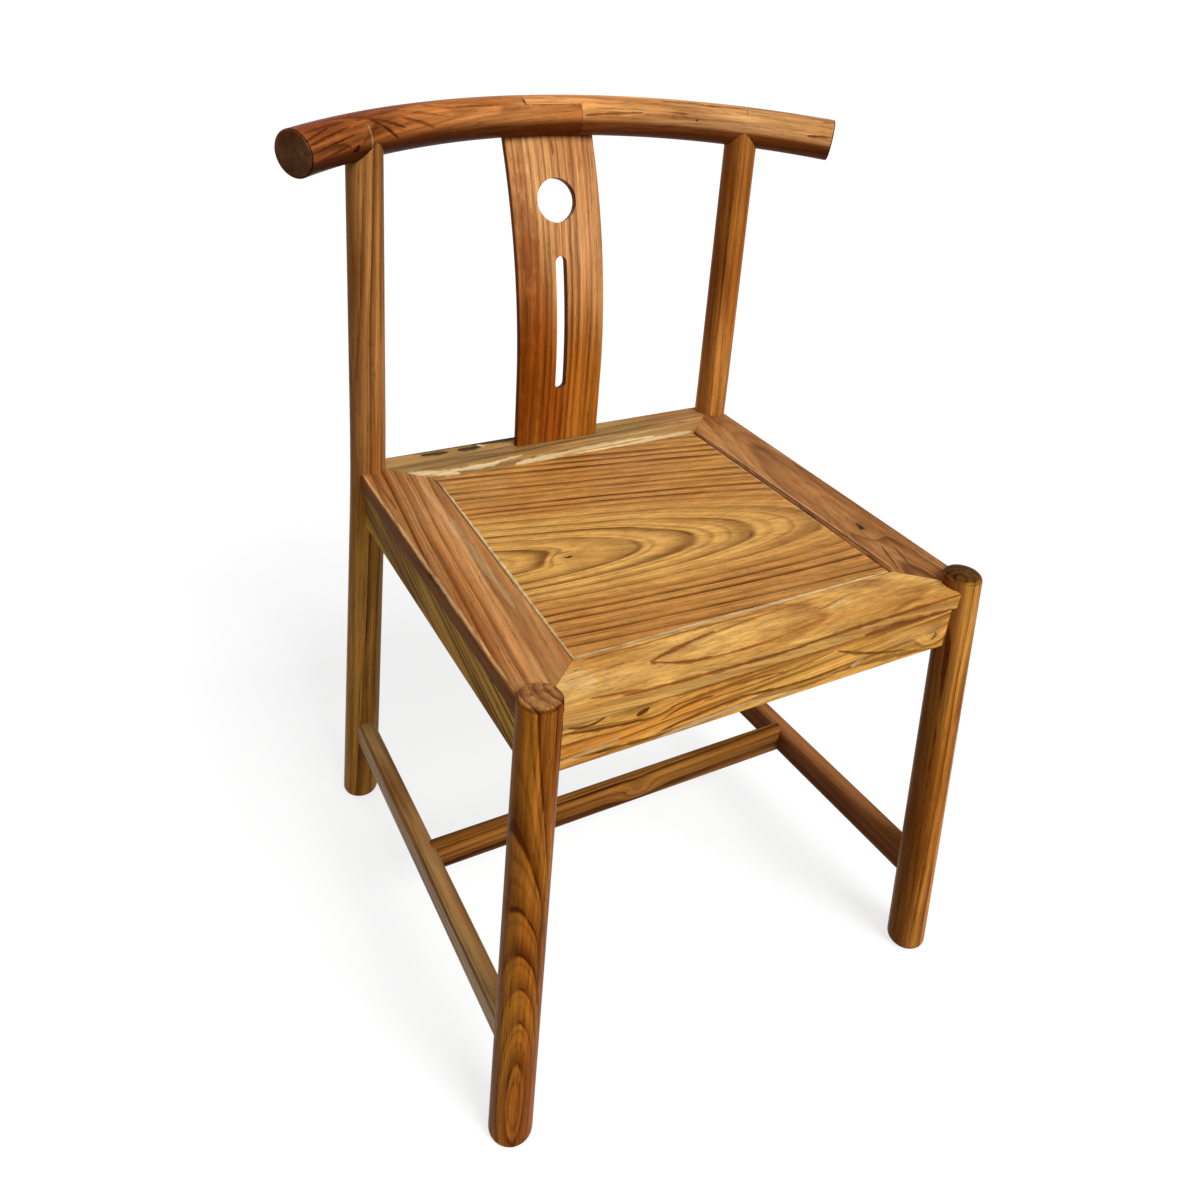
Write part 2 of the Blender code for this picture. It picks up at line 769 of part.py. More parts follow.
def make_panel():
    """The loose panel: its face board, the tongue round it and grooves for the battens."""
    outline = opening_outline(-panel_reveal)
    bm = prism(outline, panel_underside, panel_top)
    upper = [e for start, end in zip(outline, outline[1:] + outline[:1])
             for e in level_edges_between(bm, start, end) if e.verts[0].co.z > tongue_top]
    soften(bm, upper, panel_edge_chamfer, 1)
    panel = add_object("seat_panel", bm, panel_finish)
    tongue = prism(opening_outline(panel_tongue_depth - fit_gap), tongue_underside, tongue_top)
    join_on(panel, add_object("panel_tongue", tongue))
    cut(panel, batten_rib(left, fit_gap), batten_rib(right, fit_gap))
    return panel


# Aprons

def frame_half_at(depth):
    """Half the seat frame's width at a place between its front and rear edges."""
    share = (depth - front_edge) / seat_depth
    return front_half + (rear_half - front_half) * share


def end_apron_line(is_front):
    """The middle line of the front or rear apron, from leg to leg."""
    place_at = front_leg_place if is_front else rear_leg_place
    edge = front_edge if is_front else rear_edge
    middle = edge - math.copysign(apron_setback + apron_thickness / 2, edge)
    reach = place_at(right, apron_middle).x
    return Vector((-reach, middle, apron_middle)), Vector((reach, middle, apron_middle))


def side_apron_line(side):
    """The middle line of a side apron, parallel to the frame's side edge."""
    front = front_leg_place(side, apron_middle).y
    rear = rear_leg_place(side, apron_middle).y
    inset = apron_setback + apron_thickness / 2
    return (Vector((side * (frame_half_at(front) - inset), front, apron_middle)),
            Vector((side * (frame_half_at(rear) - inset), rear, apron_middle)))


def apron_core(name, line, radii, grow=0):
    trims = [radius - apron_tenon_depth for radius in radii]
    return core_between(name, *line, apron_tenon_thickness, apron_height * apron_tenon_share,
                        *trims, grow)


def make_apron(name, line, legs, core, mortises=()):
    """An apron board whose shoulders are scribed to the round legs."""
    apron = bar_between(name, *line, apron_thickness, apron_top - apron_underside, apron_finish,
                        apron_edge_round)
    cut(apron, *legs)
    join_on(apron, core)
    cut(apron, *mortises)
    return apron


# Stretchers

def leg_axis_point(side, is_front, height):
    place = front_leg_place(side, height) if is_front else rear_leg_place(side, height)
    return Vector((place.x, place.y, height))


def side_stretcher_line(side):
    return (leg_axis_point(side, True, stretcher_axis_height),
            leg_axis_point(side, False, stretcher_axis_height))


def side_stretcher_core(side, grow=0):
    trims = [radius(stretcher_axis_height) - stretcher_tenon_depth
             for radius in (front_leg_radius, rear_leg_radius)]
    use = "mortise" if grow else "tenon"
    return core_between(f"stretcher_{use}_{side_name(side)}", *side_stretcher_line(side),
                        stretcher_tenon_width, stretcher_tenon_height, *trims, grow)


def side_stretcher_space(side):
    return bar_between(f"stretcher_space_{side_name(side)}", *side_stretcher_line(side),
                       stretcher_width + fit_gap * 2, stretcher_height + fit_gap * 2, None,
                       stretcher_edge_round)


def cross_stretcher_line():
    """The cross stretcher's ends, on the axes of the side stretchers."""
    front, rear = side_stretcher_line(right)
    share = (cross_stretcher_place - front.y) / (rear.y - front.y)
    end = front.lerp(rear, share)
    return Vector((-end.x, end.y, end.z)), end


def cross_stretcher_core(grow=0):
    trim = stretcher_width / 2 - cross_tenon_depth
    use = "mortise" if grow else "tenon"
    return core_between(f"cross_stretcher_{use}", *cross_stretcher_line(), stretcher_tenon_width,
                        stretcher_tenon_height, trim, trim, grow)


def make_side_stretcher(side, legs, cross_mortise):
    stretcher = bar_between(f"side_stretcher_{side_name(side)}", *side_stretcher_line(side),
                            stretcher_width, stretcher_height, stretcher_finish,
                            stretcher_edge_round)
    cut(stretcher, *legs)
    join_on(stretcher, side_stretcher_core(side))
    cut(stretcher, cross_mortise)
    return stretcher


def make_cross_stretcher():
    stretcher = bar_between("cross_stretcher", *cross_stretcher_line(), cross_stretcher_width,
                            cross_stretcher_height, stretcher_finish, stretcher_edge_round)
    cut(stretcher, side_stretcher_space(left), side_stretcher_space(right))
    join_on(stretcher, cross_stretcher_core())
    return stretcher


# Assembly

def make_under_frame(front_room, rear_room):
    """Aprons and stretchers, each shaped round the legs; returns each leg's mortises."""
    seat_radii = front_leg_radius(apron_middle), rear_leg_radius(apron_middle)
    front_mortises = {left: [], right: []}
    rear_mortises = {left: [], right: []}
    battens = [batten_core(side, fit_gap) for side in (left, right)]
    for is_front, room, mortises in ((True, front_room, front_mortises),
                                     (False, rear_room, rear_mortises)):
        end = "front" if is_front else "rear"
        line = end_apron_line(is_front)
        radii = [seat_radii[0 if is_front else 1]] * 2
        make_apron(f"apron_{end}", line, room.values(),
                   apron_core(f"apron_tenon_{end}", line, radii), battens)
        slot = apron_core(f"apron_mortise_{end}", line, radii, fit_gap)
        for side in (left, right):
            mortises[side].append(slot)
    cross_mortise = cross_stretcher_core(fit_gap)
    for side in (left, right):
        name = side_name(side)
        line = side_apron_line(side)
        make_apron(f"apron_{name}", line, (front_room[side], rear_room[side]),
                   apron_core(f"apron_tenon_{name}", line, seat_radii))
        slots = [apron_core(f"apron_mortise_{name}", line, seat_radii, fit_gap),
                 side_stretcher_core(side, fit_gap)]
        front_mortises[side] += slots
        rear_mortises[side] += slots
        make_side_stretcher(side, (front_room[side], rear_room[side]), cross_mortise)
        make_batten(side)
    make_cross_stretcher()
    return front_mortises, rear_mortises


def make_seat(front_room, rear_room):
    groove = panel_groove()
    foot_mortise = splat_foot_tenon(fit_gap)
    frame_mortises = [frame_tenon(is_front, fit_gap) for is_front in (True, False)]
    front_corners = {side: frame_corner_space(side, True) for side in (left, right)}
    rear_corners = {side: frame_corner_space(side, False) for side in (left, right)}
    make_end_rail(True, [groove, *front_room.values(), *front_corners.values()])
    make_end_rail(False, [groove, foot_mortise, *rear_room.values(), *rear_corners.values()])
    for side in (left, right):
        make_side_rail(side, [groove, front_room[side], rear_room[side], front_corners[side],
                              rear_corners[side], *frame_mortises])
    make_panel()


def make_back():
    """Crest rail and splat; returns the room that the crest rail takes from the posts."""
    crest_room = crest_space()
    tools = [splat_top_tenon(fit_gap), scarf_pin(left, fit_gap), scarf_pin(right, fit_gap)]
    for side in (left, right):
        make_crest_length(side, [*tools, post_tenon(side, fit_gap)])
        scarf_pin(side)
    make_splat(crest_room)
    return crest_room


def main():
    clear_scene()
    chair = bpy.data.objects.new("side_chair", None)
    bpy.context.scene.collection.objects.link(chair)
    front_room = {side: leg_space(side, True) for side in (left, right)}
    rear_room = {side: leg_space(side, False) for side in (left, right)}
    front_mortises, rear_mortises = make_under_frame(front_room, rear_room)
    make_seat(front_room, rear_room)
    crest_room = make_back()
    for side in (left, right):
        make_front_leg(side, front_mortises[side])
        make_rear_leg(side, rear_mortises[side], crest_room)


main()
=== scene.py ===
import math

import bmesh
import bpy
from mathutils import Matrix, Vector


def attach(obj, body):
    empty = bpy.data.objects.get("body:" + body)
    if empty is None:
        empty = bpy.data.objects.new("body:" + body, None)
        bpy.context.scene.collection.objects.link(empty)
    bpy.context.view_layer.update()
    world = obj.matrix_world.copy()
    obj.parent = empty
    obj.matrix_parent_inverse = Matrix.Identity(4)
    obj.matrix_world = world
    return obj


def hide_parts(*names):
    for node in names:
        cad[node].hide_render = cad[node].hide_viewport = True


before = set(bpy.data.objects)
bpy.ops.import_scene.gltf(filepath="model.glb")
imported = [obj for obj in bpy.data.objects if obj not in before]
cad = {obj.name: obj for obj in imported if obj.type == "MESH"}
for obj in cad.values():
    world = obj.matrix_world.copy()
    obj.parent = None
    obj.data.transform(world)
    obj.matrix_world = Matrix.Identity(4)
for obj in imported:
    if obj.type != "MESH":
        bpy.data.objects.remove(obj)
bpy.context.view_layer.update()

left, right = -1, 1
both_sides = ((left, "left"), (right, "right"))

# Front legs
# Two straight legs turned from solid hardwood, splayed out and forward, thicker at the foot.
# The foot is rounded over, and the end grain stands above the seat as a low polished button.
seat_height = 0.4475
front_leg_seat_place = Vector((0.2102, -0.1989))
front_leg_splay = Vector((0.0275, -0.0412))
front_leg_top = 0.4587
front_leg_foot_thickness = 0.0396
front_leg_seat_thickness = 0.0350
front_leg_steps = 8
foot_rounding = 0.0075
button_rounding = 0.0042
button_crown = 0.0012
bar_sides = 64
bar_rings = 150
weld_distance = 0.00001
flat_angle = math.radians(0.4)
crisp_angle = math.radians(36)
# Colour of pale marks: pale streaks in the wood and painted highlights alike
pale_wood_and_highlight = (0.76, 0.57, 0.30)
gloss_tint = (1.0, 0.62, 0.28, 1.0)
bump_strength = 0.5
bump_depth = 0.0004
socket_kinds = {float: "Float", int: "Int", Vector: "Vector"}


def feed(tree, socket, value):
    """Links a socket to another one, or sets its own value."""
    if isinstance(value, bpy.types.NodeSocket):
        tree.links.new(value, socket)
    else:
        socket.default_value = value


def add(tree, kind, inputs=None, **settings):
    """Adds a node with its settings, and feeds its inputs by name or number."""
    node = tree.nodes.new(kind)
    for name, value in settings.items():
        setattr(node, name, value)
    for key, value in (inputs or {}).items():
        feed(tree, node.inputs[key], value)
    return node


def fed(kind, inputs, output=0, **settings):
    """Adds a shader node beside those that feed it, and gives one of its results."""
    tree = next(value.id_data for value in inputs.values()
                if isinstance(value, bpy.types.NodeSocket))
    return add(tree, "ShaderNode" + kind, inputs, **settings).outputs[output]


def maths(operation, *values):
    """Adds a Math node and gives its result."""
    return fed("Math", dict(enumerate(values)), operation=operation)


def plus(first, second):
    """Adds two numbers."""
    return maths("ADD", first, second)


def minus(first, second):
    """Takes the second number from the first."""
    return maths("SUBTRACT", first, second)


def times(first, second):
    """Multiplies two numbers."""
    return maths("MULTIPLY", first, second)


def vectors(operation, first, second=(0, 0, 0), output=0):
    """Adds a Vector Math node and gives its result."""
    return fed("VectorMath", {0: first, 1: second}, output, operation=operation)


def scaled(vector, scale):
    """Multiplies a vector or a colour by a number."""
    return fed("VectorMath", {0: vector, "Scale": scale}, operation="SCALE")


def new_group(name, kind, inputs, outputs):
    """Starts a node group. Each input is given by its kind, or by the value it has at first."""
    tree = bpy.data.node_groups.new(name, kind)
    for label, value in inputs.items():
        own_kind = socket_kinds.get(type(value), value)
        socket = tree.interface.new_socket(label, in_out="INPUT",
                                           socket_type="NodeSocket" + own_kind)
        if value != own_kind:
            socket.default_value = value
    for label, own_kind in outputs.items():
        tree.interface.new_socket(label, in_out="OUTPUT", socket_type="NodeSocket" + own_kind)
    return tree, tree.nodes.new("NodeGroupInput").outputs, tree.nodes.new("NodeGroupOutput").inputs


def end_shape(distance, rounding, crown):
    """What an end's rounding takes off the radius, and how far open its crown is there."""
    sliver = 0.000001
    past_crown = maths("MAXIMUM", minus(distance, crown), 0.0)
    into = maths("MAXIMUM", minus(rounding, past_crown), 0.0)
    squares = minus(times(rounding, rounding), times(into, into))
    loss = minus(rounding, maths("SQRT", squares))
    share = maths("DIVIDE", plus(distance, sliver), plus(crown, sliver))
    return loss, maths("SQRT", maths("MINIMUM", share, 1.0))


def round_bar_tree():
    """Sweeps a circle along a path whose points hold a thickness and a lean to one side."""
    tree, given, result = new_group(
        "round_bar", "GeometryNodeTree",
        {"Path": "Geometry", "Sides": bar_sides, "Rings": bar_rings, "First Rounding": 0.0,
         "First Crown": 0.0, "Last Rounding": 0.0, "Last Crown": 0.0, "Material": "Material"},
        {"Bar": "Geometry"})

    def step(kind, inputs=None, **settings):
        """Adds a geometry node and gives its first result."""
        return add(tree, "GeometryNode" + kind, inputs, **settings).outputs[0]

    def held(name, kind="FLOAT"):
        """Reads a value that the points hold."""
        return step("InputNamedAttribute", {"Name": name}, data_type=kind)

    path = step("MeshToCurve", {"Mesh": given["Path"]})
    length = step("CurveLength", {"Curve": path})
    line = step("ResampleCurve", {"Curve": step("CurvePrimitiveLine"), "Count": given["Rings"]})
    even = add(tree, "GeometryNodeSplineParameter").outputs["Factor"]
    turn = maths("COSINE", times(even, math.pi))
    share = maths("MULTIPLY_ADD", turn, -0.5, 0.5)
    thickness, lean = (add(tree, "GeometryNodeSampleCurve",
                           {"Curves": path, "Value": held(name, kind), "Factor": share},
                           mode="FACTOR", data_type=kind).outputs
                       for name, kind in (("thickness", "FLOAT"), ("lean", "FLOAT_VECTOR")))
    from_first = times(share, length)
    ends = [end_shape(distance, given[end + " Rounding"], given[end + " Crown"])
            for end, distance in (("First", from_first),
                                  ("Last", minus(length, from_first)))]
    radius = times(thickness["Value"], 0.5)
    for loss, opening in ends:
        radius = minus(radius, loss)
    for loss, opening in ends:
        radius = times(radius, opening)
    for name, value, kind in (("bar_radius", radius, "FLOAT"),
                              ("lean", lean["Value"], "FLOAT_VECTOR")):
        line = step("StoreNamedAttribute", {"Geometry": line, "Name": name, "Value": value},
                    data_type=kind, domain="POINT")
    line = step("SetPosition", {"Geometry": line, "Position": thickness["Position"]})
    circle = step("CurvePrimitiveCircle", {"Resolution": given["Sides"], "Radius": 1.0})
    bar = step("CurveToMesh", {"Curve": line, "Profile Curve": circle,
                               "Scale": held("bar_radius"), "Fill Caps": True})
    bar = step("SetPosition", {"Geometry": bar, "Offset": held("lean", "FLOAT_VECTOR")})
    for name in ("lean", "bar_radius"):
        bar = step("RemoveAttribute", {"Geometry": bar, "Name": name})
    bar = step("RealizeInstances", {"Geometry": bar})
    bar = step("SetMaterial", {"Geometry": bar, "Material": given["Material"]})
    feed(tree, result["Bar"], bar)
    return tree


def apply_changes(piece):
    """Turns a piece's modifiers into its plain mesh."""
    graph = bpy.context.evaluated_depsgraph_get()
    mesh = bpy.data.meshes.new_from_object(piece.evaluated_get(graph))
    piece.modifiers.clear()
    piece.data = mesh
    return mesh


def settle(piece):
    """Gives a shaped piece a plain mesh with closed poles, outward faces and crisp arrises."""
    mesh = apply_changes(piece)
    bm = bmesh.new()
    bm.from_mesh(mesh)
    bmesh.ops.remove_doubles(bm, verts=bm.verts, dist=weld_distance)
    bmesh.ops.recalc_face_normals(bm, faces=bm.faces)
    for face in bm.faces:
        face.smooth = True
    bm.to_mesh(mesh)
    bm.free()
    mesh.set_sharp_from_angle(angle=crisp_angle)
    return piece


def place_object(name, data):
    """Puts a mesh, lamp or camera into the scene."""
    thing = bpy.data.objects.new(name, data)
    bpy.context.scene.collection.objects.link(thing)
    return thing


def place_solid(name, bm):
    """Turns a finished bmesh into an object."""
    mesh = bpy.data.meshes.new(name)
    bm.to_mesh(mesh)
    bm.free()
    return place_object(name, mesh)


def round_bar(name, stations, **sizes):
    """Makes a round bar through stations of point, thickness and lean."""
    points, thicknesses, leans = zip(*stations)
    mesh = bpy.data.meshes.new(name)
    mesh.from_pydata(points, [(i, i + 1) for i in range(len(points) - 1)], [])
    mesh.attributes.new("thickness", "FLOAT", "POINT").data.foreach_set("value", thicknesses)
    mesh.attributes.new("lean", "FLOAT_VECTOR", "POINT").data.foreach_set(
        "vector", [number for lean in leans for number in lean])
    bar = place_object(name, mesh)
    change = bar.modifiers.new("round bar", "NODES")
    change.node_group = bar_tree
    for item in bar_tree.interface.items_tree:
        label = item.name.lower().replace(" ", "_")
        if item.in_out == "INPUT" and label in sizes:
            change[item.identifier] = sizes[label]
    return settle(bar)


def solid_copy(node, name):
    """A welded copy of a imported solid, whose own mesh is loose triangles."""
    bm = bmesh.new()
    bm.from_mesh(cad[node].data)
    bmesh.ops.remove_doubles(bm, verts=bm.verts, dist=weld_distance)
    bmesh.ops.dissolve_limit(bm, angle_limit=flat_angle, verts=bm.verts, edges=bm.edges)
    return place_solid(name, bm)


def shape_with(piece, tools, operation="DIFFERENCE"):
    """Cuts a piece with other solids, or joins them on, and clears them away."""
    for tool in tools:
        change = piece.modifiers.new("shape", "BOOLEAN")
        change.operation, change.solver, change.object = operation, "EXACT", tool
    settle(piece)
    for tool in tools:
        bpy.data.objects.remove(tool)


def finish_piece(piece, slot, *nodes):
    """Puts a finished piece on the chair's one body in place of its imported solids."""
    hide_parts(*nodes)
    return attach(piece, "root")


def noise(place, stretch, detail=2.0, roughness=0.5, output=0):
    """Solid noise whose grain is drawn out along the wood."""
    return fed("TexNoise", {"Vector": vectors("MULTIPLY", place, stretch), "Scale": 1.0,
                            "Detail": detail, "Roughness": roughness}, output)


def line_noise(place, detail):
    """Noise along one number, such as a count of rings."""
    return fed("TexNoise", {"W": place, "Scale": 1.0, "Detail": detail}, noise_dimensions="1D")


def ramp(value, low, high, out_low=0.0, out_high=1.0, smooth=True):
    """Carries a value from one range to another, smoothly or evenly."""
    return fed("MapRange", {0: value, 1: low, 2: high, 3: out_low, 4: out_high},
               interpolation_type="SMOOTHSTEP" if smooth else "LINEAR")


def mix_colour(share, first, second):
    """Mixes two colours by a share."""
    return fed("Mix", {0: share, 6: first, 7: second}, 2, data_type="RGBA")


def sawn_wood_group():
    """Growth rings round a pith line, with fibre, pores and colour bands that follow the rings."""
    tree, given, result = new_group(
        "sawn_wood", "ShaderNodeTree",
        {"Place": "Vector", "Seed": 0.0, "Ring Width": 0.009, "Wander": 0.004, "Unevenness": 1.0,
         "Shift": 0.0, "Heart": 0.0, "Dark Mark": 0.0, "Pale Mark": 0.0, "End Grain": 0.0,
         "End Tint": Vector((0.5, 0.5, 0.55)), "Rim": 0.35, "Light": "Color", "Warm": "Color",
         "Dark": "Color", "Pale": "Color", "Sapwood Start": 0.05, "Sapwood Spread": 0.01,
         "Zone": 0.0, "Lines": 0.6, "Edges": 0.25, "Bands": 0.3, "Fibre": 0.5,
         "Gloss Roughness": 0.35},
        {"Colour": "Color", "Roughness": "Float", "Height": "Float"})
    seed, ring_width, end_grain = given["Seed"], given["Ring Width"], given["End Grain"]
    seeds = fed("CombineXYZ", {0: seed, 1: seed, 2: seed})
    place = vectors("ADD", given["Place"], seeds)

    # The rings wander slowly and, a little, quickly
    drifts = []
    for stretch, share in (((11.0, 11.0, 2.4), 1.0), ((52.0, 52.0, 11.0), 0.22)):
        drift = noise(place, stretch, 2.0, 0.45, output="Color")
        drifts.append(scaled(vectors("SUBTRACT", drift, (0.5, 0.5, 0.5)), share))
    drift = scaled(vectors("ADD", *drifts), given["Wander"])
    across = vectors("MULTIPLY", vectors("ADD", given["Place"], drift), (1.0, 1.0, 0.0))
    radius = vectors("LENGTH", across, output="Value")
    count = maths("DIVIDE", radius, ring_width)
    uneven = line_noise(maths("MULTIPLY_ADD", count, 0.55, seed), 1.0)
    uneven = times(minus(uneven, 0.5), given["Unevenness"])
    rings = plus(plus(count, uneven), given["Shift"])

    def ring_lines(often, low, high, salt):
        """Lines that darken outward and stop short, each ring with its own strength."""
        turned = maths("MULTIPLY_ADD", rings, often, salt)
        phase = maths("FRACT", turned)
        rise = times(ramp(phase, low, high), ramp(phase, high, 1.0, 1.0, 0.0))
        which = plus(maths("FLOOR", turned), seed)
        chance = fed("TexWhiteNoise", {"W": which}, noise_dimensions="1D")
        return times(rise, ramp(chance, 0.0, 1.0, 0.45, 1.0, False))

    # Late wood: a line in each ring, finer ones between, a sharp edge and wide bands
    along_fade = ramp(noise(place, (34.0, 34.0, 8.0)), 0.33, 0.62, 0.6, 1.0)
    phase = maths("FRACT", rings)
    line = maths("MAXIMUM", ring_lines(1.0, 0.30, 0.84, 0.0),
                 times(ring_lines(3.0, 0.40, 0.80, 0.4), 0.5))
    line = times(line, along_fade)
    edge = times(ramp(phase, 0.79, 0.88), ramp(phase, 0.90, 0.97, 1.0, 0.0))
    edge = times(edge, ramp(noise(place, (60.0, 60.0, 10.0)), 0.42, 0.58))
    band = line_noise(maths("MULTIPLY_ADD", rings, 0.27, seed), 2.0)
    band = times(ramp(band, 0.45, 0.70), along_fade)

    # Base colour: mottled, and paler or warmer inside the sapwood line
    mottle = ramp(noise(place, (24.0, 24.0, 4.0), 3.0), 0.36, 0.64)
    heartwood = ramp(radius, given["Sapwood Start"],
                     plus(given["Sapwood Start"], given["Sapwood Spread"]), 1.0, 0.0)
    tone = plus(times(mottle, minus(1.0, given["Zone"])), times(heartwood, given["Zone"]))
    colour = mix_colour(tone, given["Light"], given["Warm"])
    dark = plus(times(line, given["Lines"]),
                plus(times(band, given["Bands"]), times(edge, given["Edges"])))
    # The dark mark input also lays painted shade, and the pale mark input painted highlights
    dark = maths("MAXIMUM", maths("MINIMUM", dark, 0.96), given["Dark Mark"])
    colour = mix_colour(dark, colour, given["Dark"])
    colour = mix_colour(given["Pale Mark"], colour, given["Pale"])

    # Fibres, streaks and pores run along the grain
    fibre = minus(noise(place, (640.0, 640.0, 14.0), 3.0, 0.6), 0.5)
    streak = minus(noise(place, (210.0, 210.0, 6.0), 2.0, 0.55), 0.5)
    pores = ramp(noise(place, (1500.0, 1500.0, 75.0), 1.0), 0.60, 0.70)
    swing = plus(times(fibre, 1.5), times(streak, 1.7))
    level = minus(plus(times(swing, given["Fibre"]), 1.0),
                  times(pores, times(given["Fibre"], 0.5)))

    # Sawn ends take their own tint, and the arris round them darkens: painted shade along that edge
    rim = times(ramp(end_grain, 0.12, 0.40), ramp(end_grain, 0.62, 0.92, 1.0, 0.0))
    level = times(level, minus(1.0, times(rim, given["Rim"])))
    colour = scaled(colour, level)
    colour = mix_colour(ramp(end_grain, 0.6, 0.95), colour,
                        vectors("MULTIPLY", colour, given["End Tint"]))
    feed(tree, result["Colour"], mix_colour(given["Heart"], colour, scaled(given["Dark"], 0.35)))
    rough = plus(given["Gloss Roughness"], times(fibre, 0.16))
    feed(tree, result["Roughness"], plus(rough, times(pores, 0.14)))
    height = minus(times(fibre, 0.5), times(pores, 0.45))
    height = minus(height, times(line, 0.3))
    height = minus(height, times(given["Dark Mark"], 0.4))
    feed(tree, result["Height"], minus(height, given["Heart"]))
    return tree


def knot_group():
    """A knot: it pushes the growth rings aside round a dark heart."""
    tree, given, result = new_group(
        "knot", "ShaderNodeTree",
        {"Place": "Vector", "Centre": "Vector", "Reach": 0.02, "Stretch": 2.0, "Pull": 3.0,
         "Heart Reach": 0.004},
        {"Shift": "Float", "Heart": "Float"})
    squeeze = fed("CombineXYZ", {0: 1.0, 1: 1.0, 2: maths("DIVIDE", 1.0, given["Stretch"])})
    away = vectors("MULTIPLY", vectors("SUBTRACT", given["Place"], given["Centre"]), squeeze)
    share = maths("DIVIDE", vectors("LENGTH", away, output="Value"), given["Reach"])
    fall = maths("EXPONENT", times(times(share, share), -1.0))
    feed(tree, result["Shift"], times(fall, given["Pull"]))
    ragged = noise(given["Place"], (260.0, 260.0, 150.0), output="Color")
    ragged = scaled(vectors("SUBTRACT", ragged, (0.5, 0.5, 0.5)),
                    times(given["Heart Reach"], 2.4))
    near = vectors("LENGTH", vectors("ADD", away, ragged), output="Value")
    near = maths("DIVIDE", near, maths("MAXIMUM", given["Heart Reach"], 0.00001))
    feed(tree, result["Heart"], ramp(near, 0.45, 1.2, 1.0, 0.0))
    return tree


def stroke_group():
    """One long mark along a line that may bow: a check or streak in the wood, and also painted
    shade and painted highlights.
    """
    tree, given, result = new_group(
        "stroke", "ShaderNodeTree",
        {"Place": "Vector", "From": "Vector", "To": "Vector", "Bow": "Vector", "Width": 0.002,
         "Strength": 0.8},
        {"Mask": "Float"})
    run = vectors("SUBTRACT", given["To"], given["From"])
    into = vectors("SUBTRACT", given["Place"], given["From"])
    share = maths("DIVIDE", vectors("DOT_PRODUCT", into, run, "Value"),
                  vectors("DOT_PRODUCT", run, run, "Value"))
    share = maths("MINIMUM", maths("MAXIMUM", share, 0.0), 1.0)
    arch = times(times(share, 4.0), minus(1.0, share))
    away = vectors("SUBTRACT", vectors("SUBTRACT", into, scaled(run, share)),
                   scaled(given["Bow"], arch))
    unsteady = noise(given["Place"], (70.0, 70.0, 70.0), 3.0, 0.6)
    width = times(given["Width"], ramp(unsteady, 0.3, 0.7, 0.45, 1.4, False))
    width = times(width, maths("POWER", plus(arch, 0.02), 0.4))
    near = maths("DIVIDE", vectors("LENGTH", away, output="Value"), width)
    feed(tree, result["Mask"], times(ramp(near, 0.2, 1.0, 1.0, 0.0), given["Strength"]))
    return tree


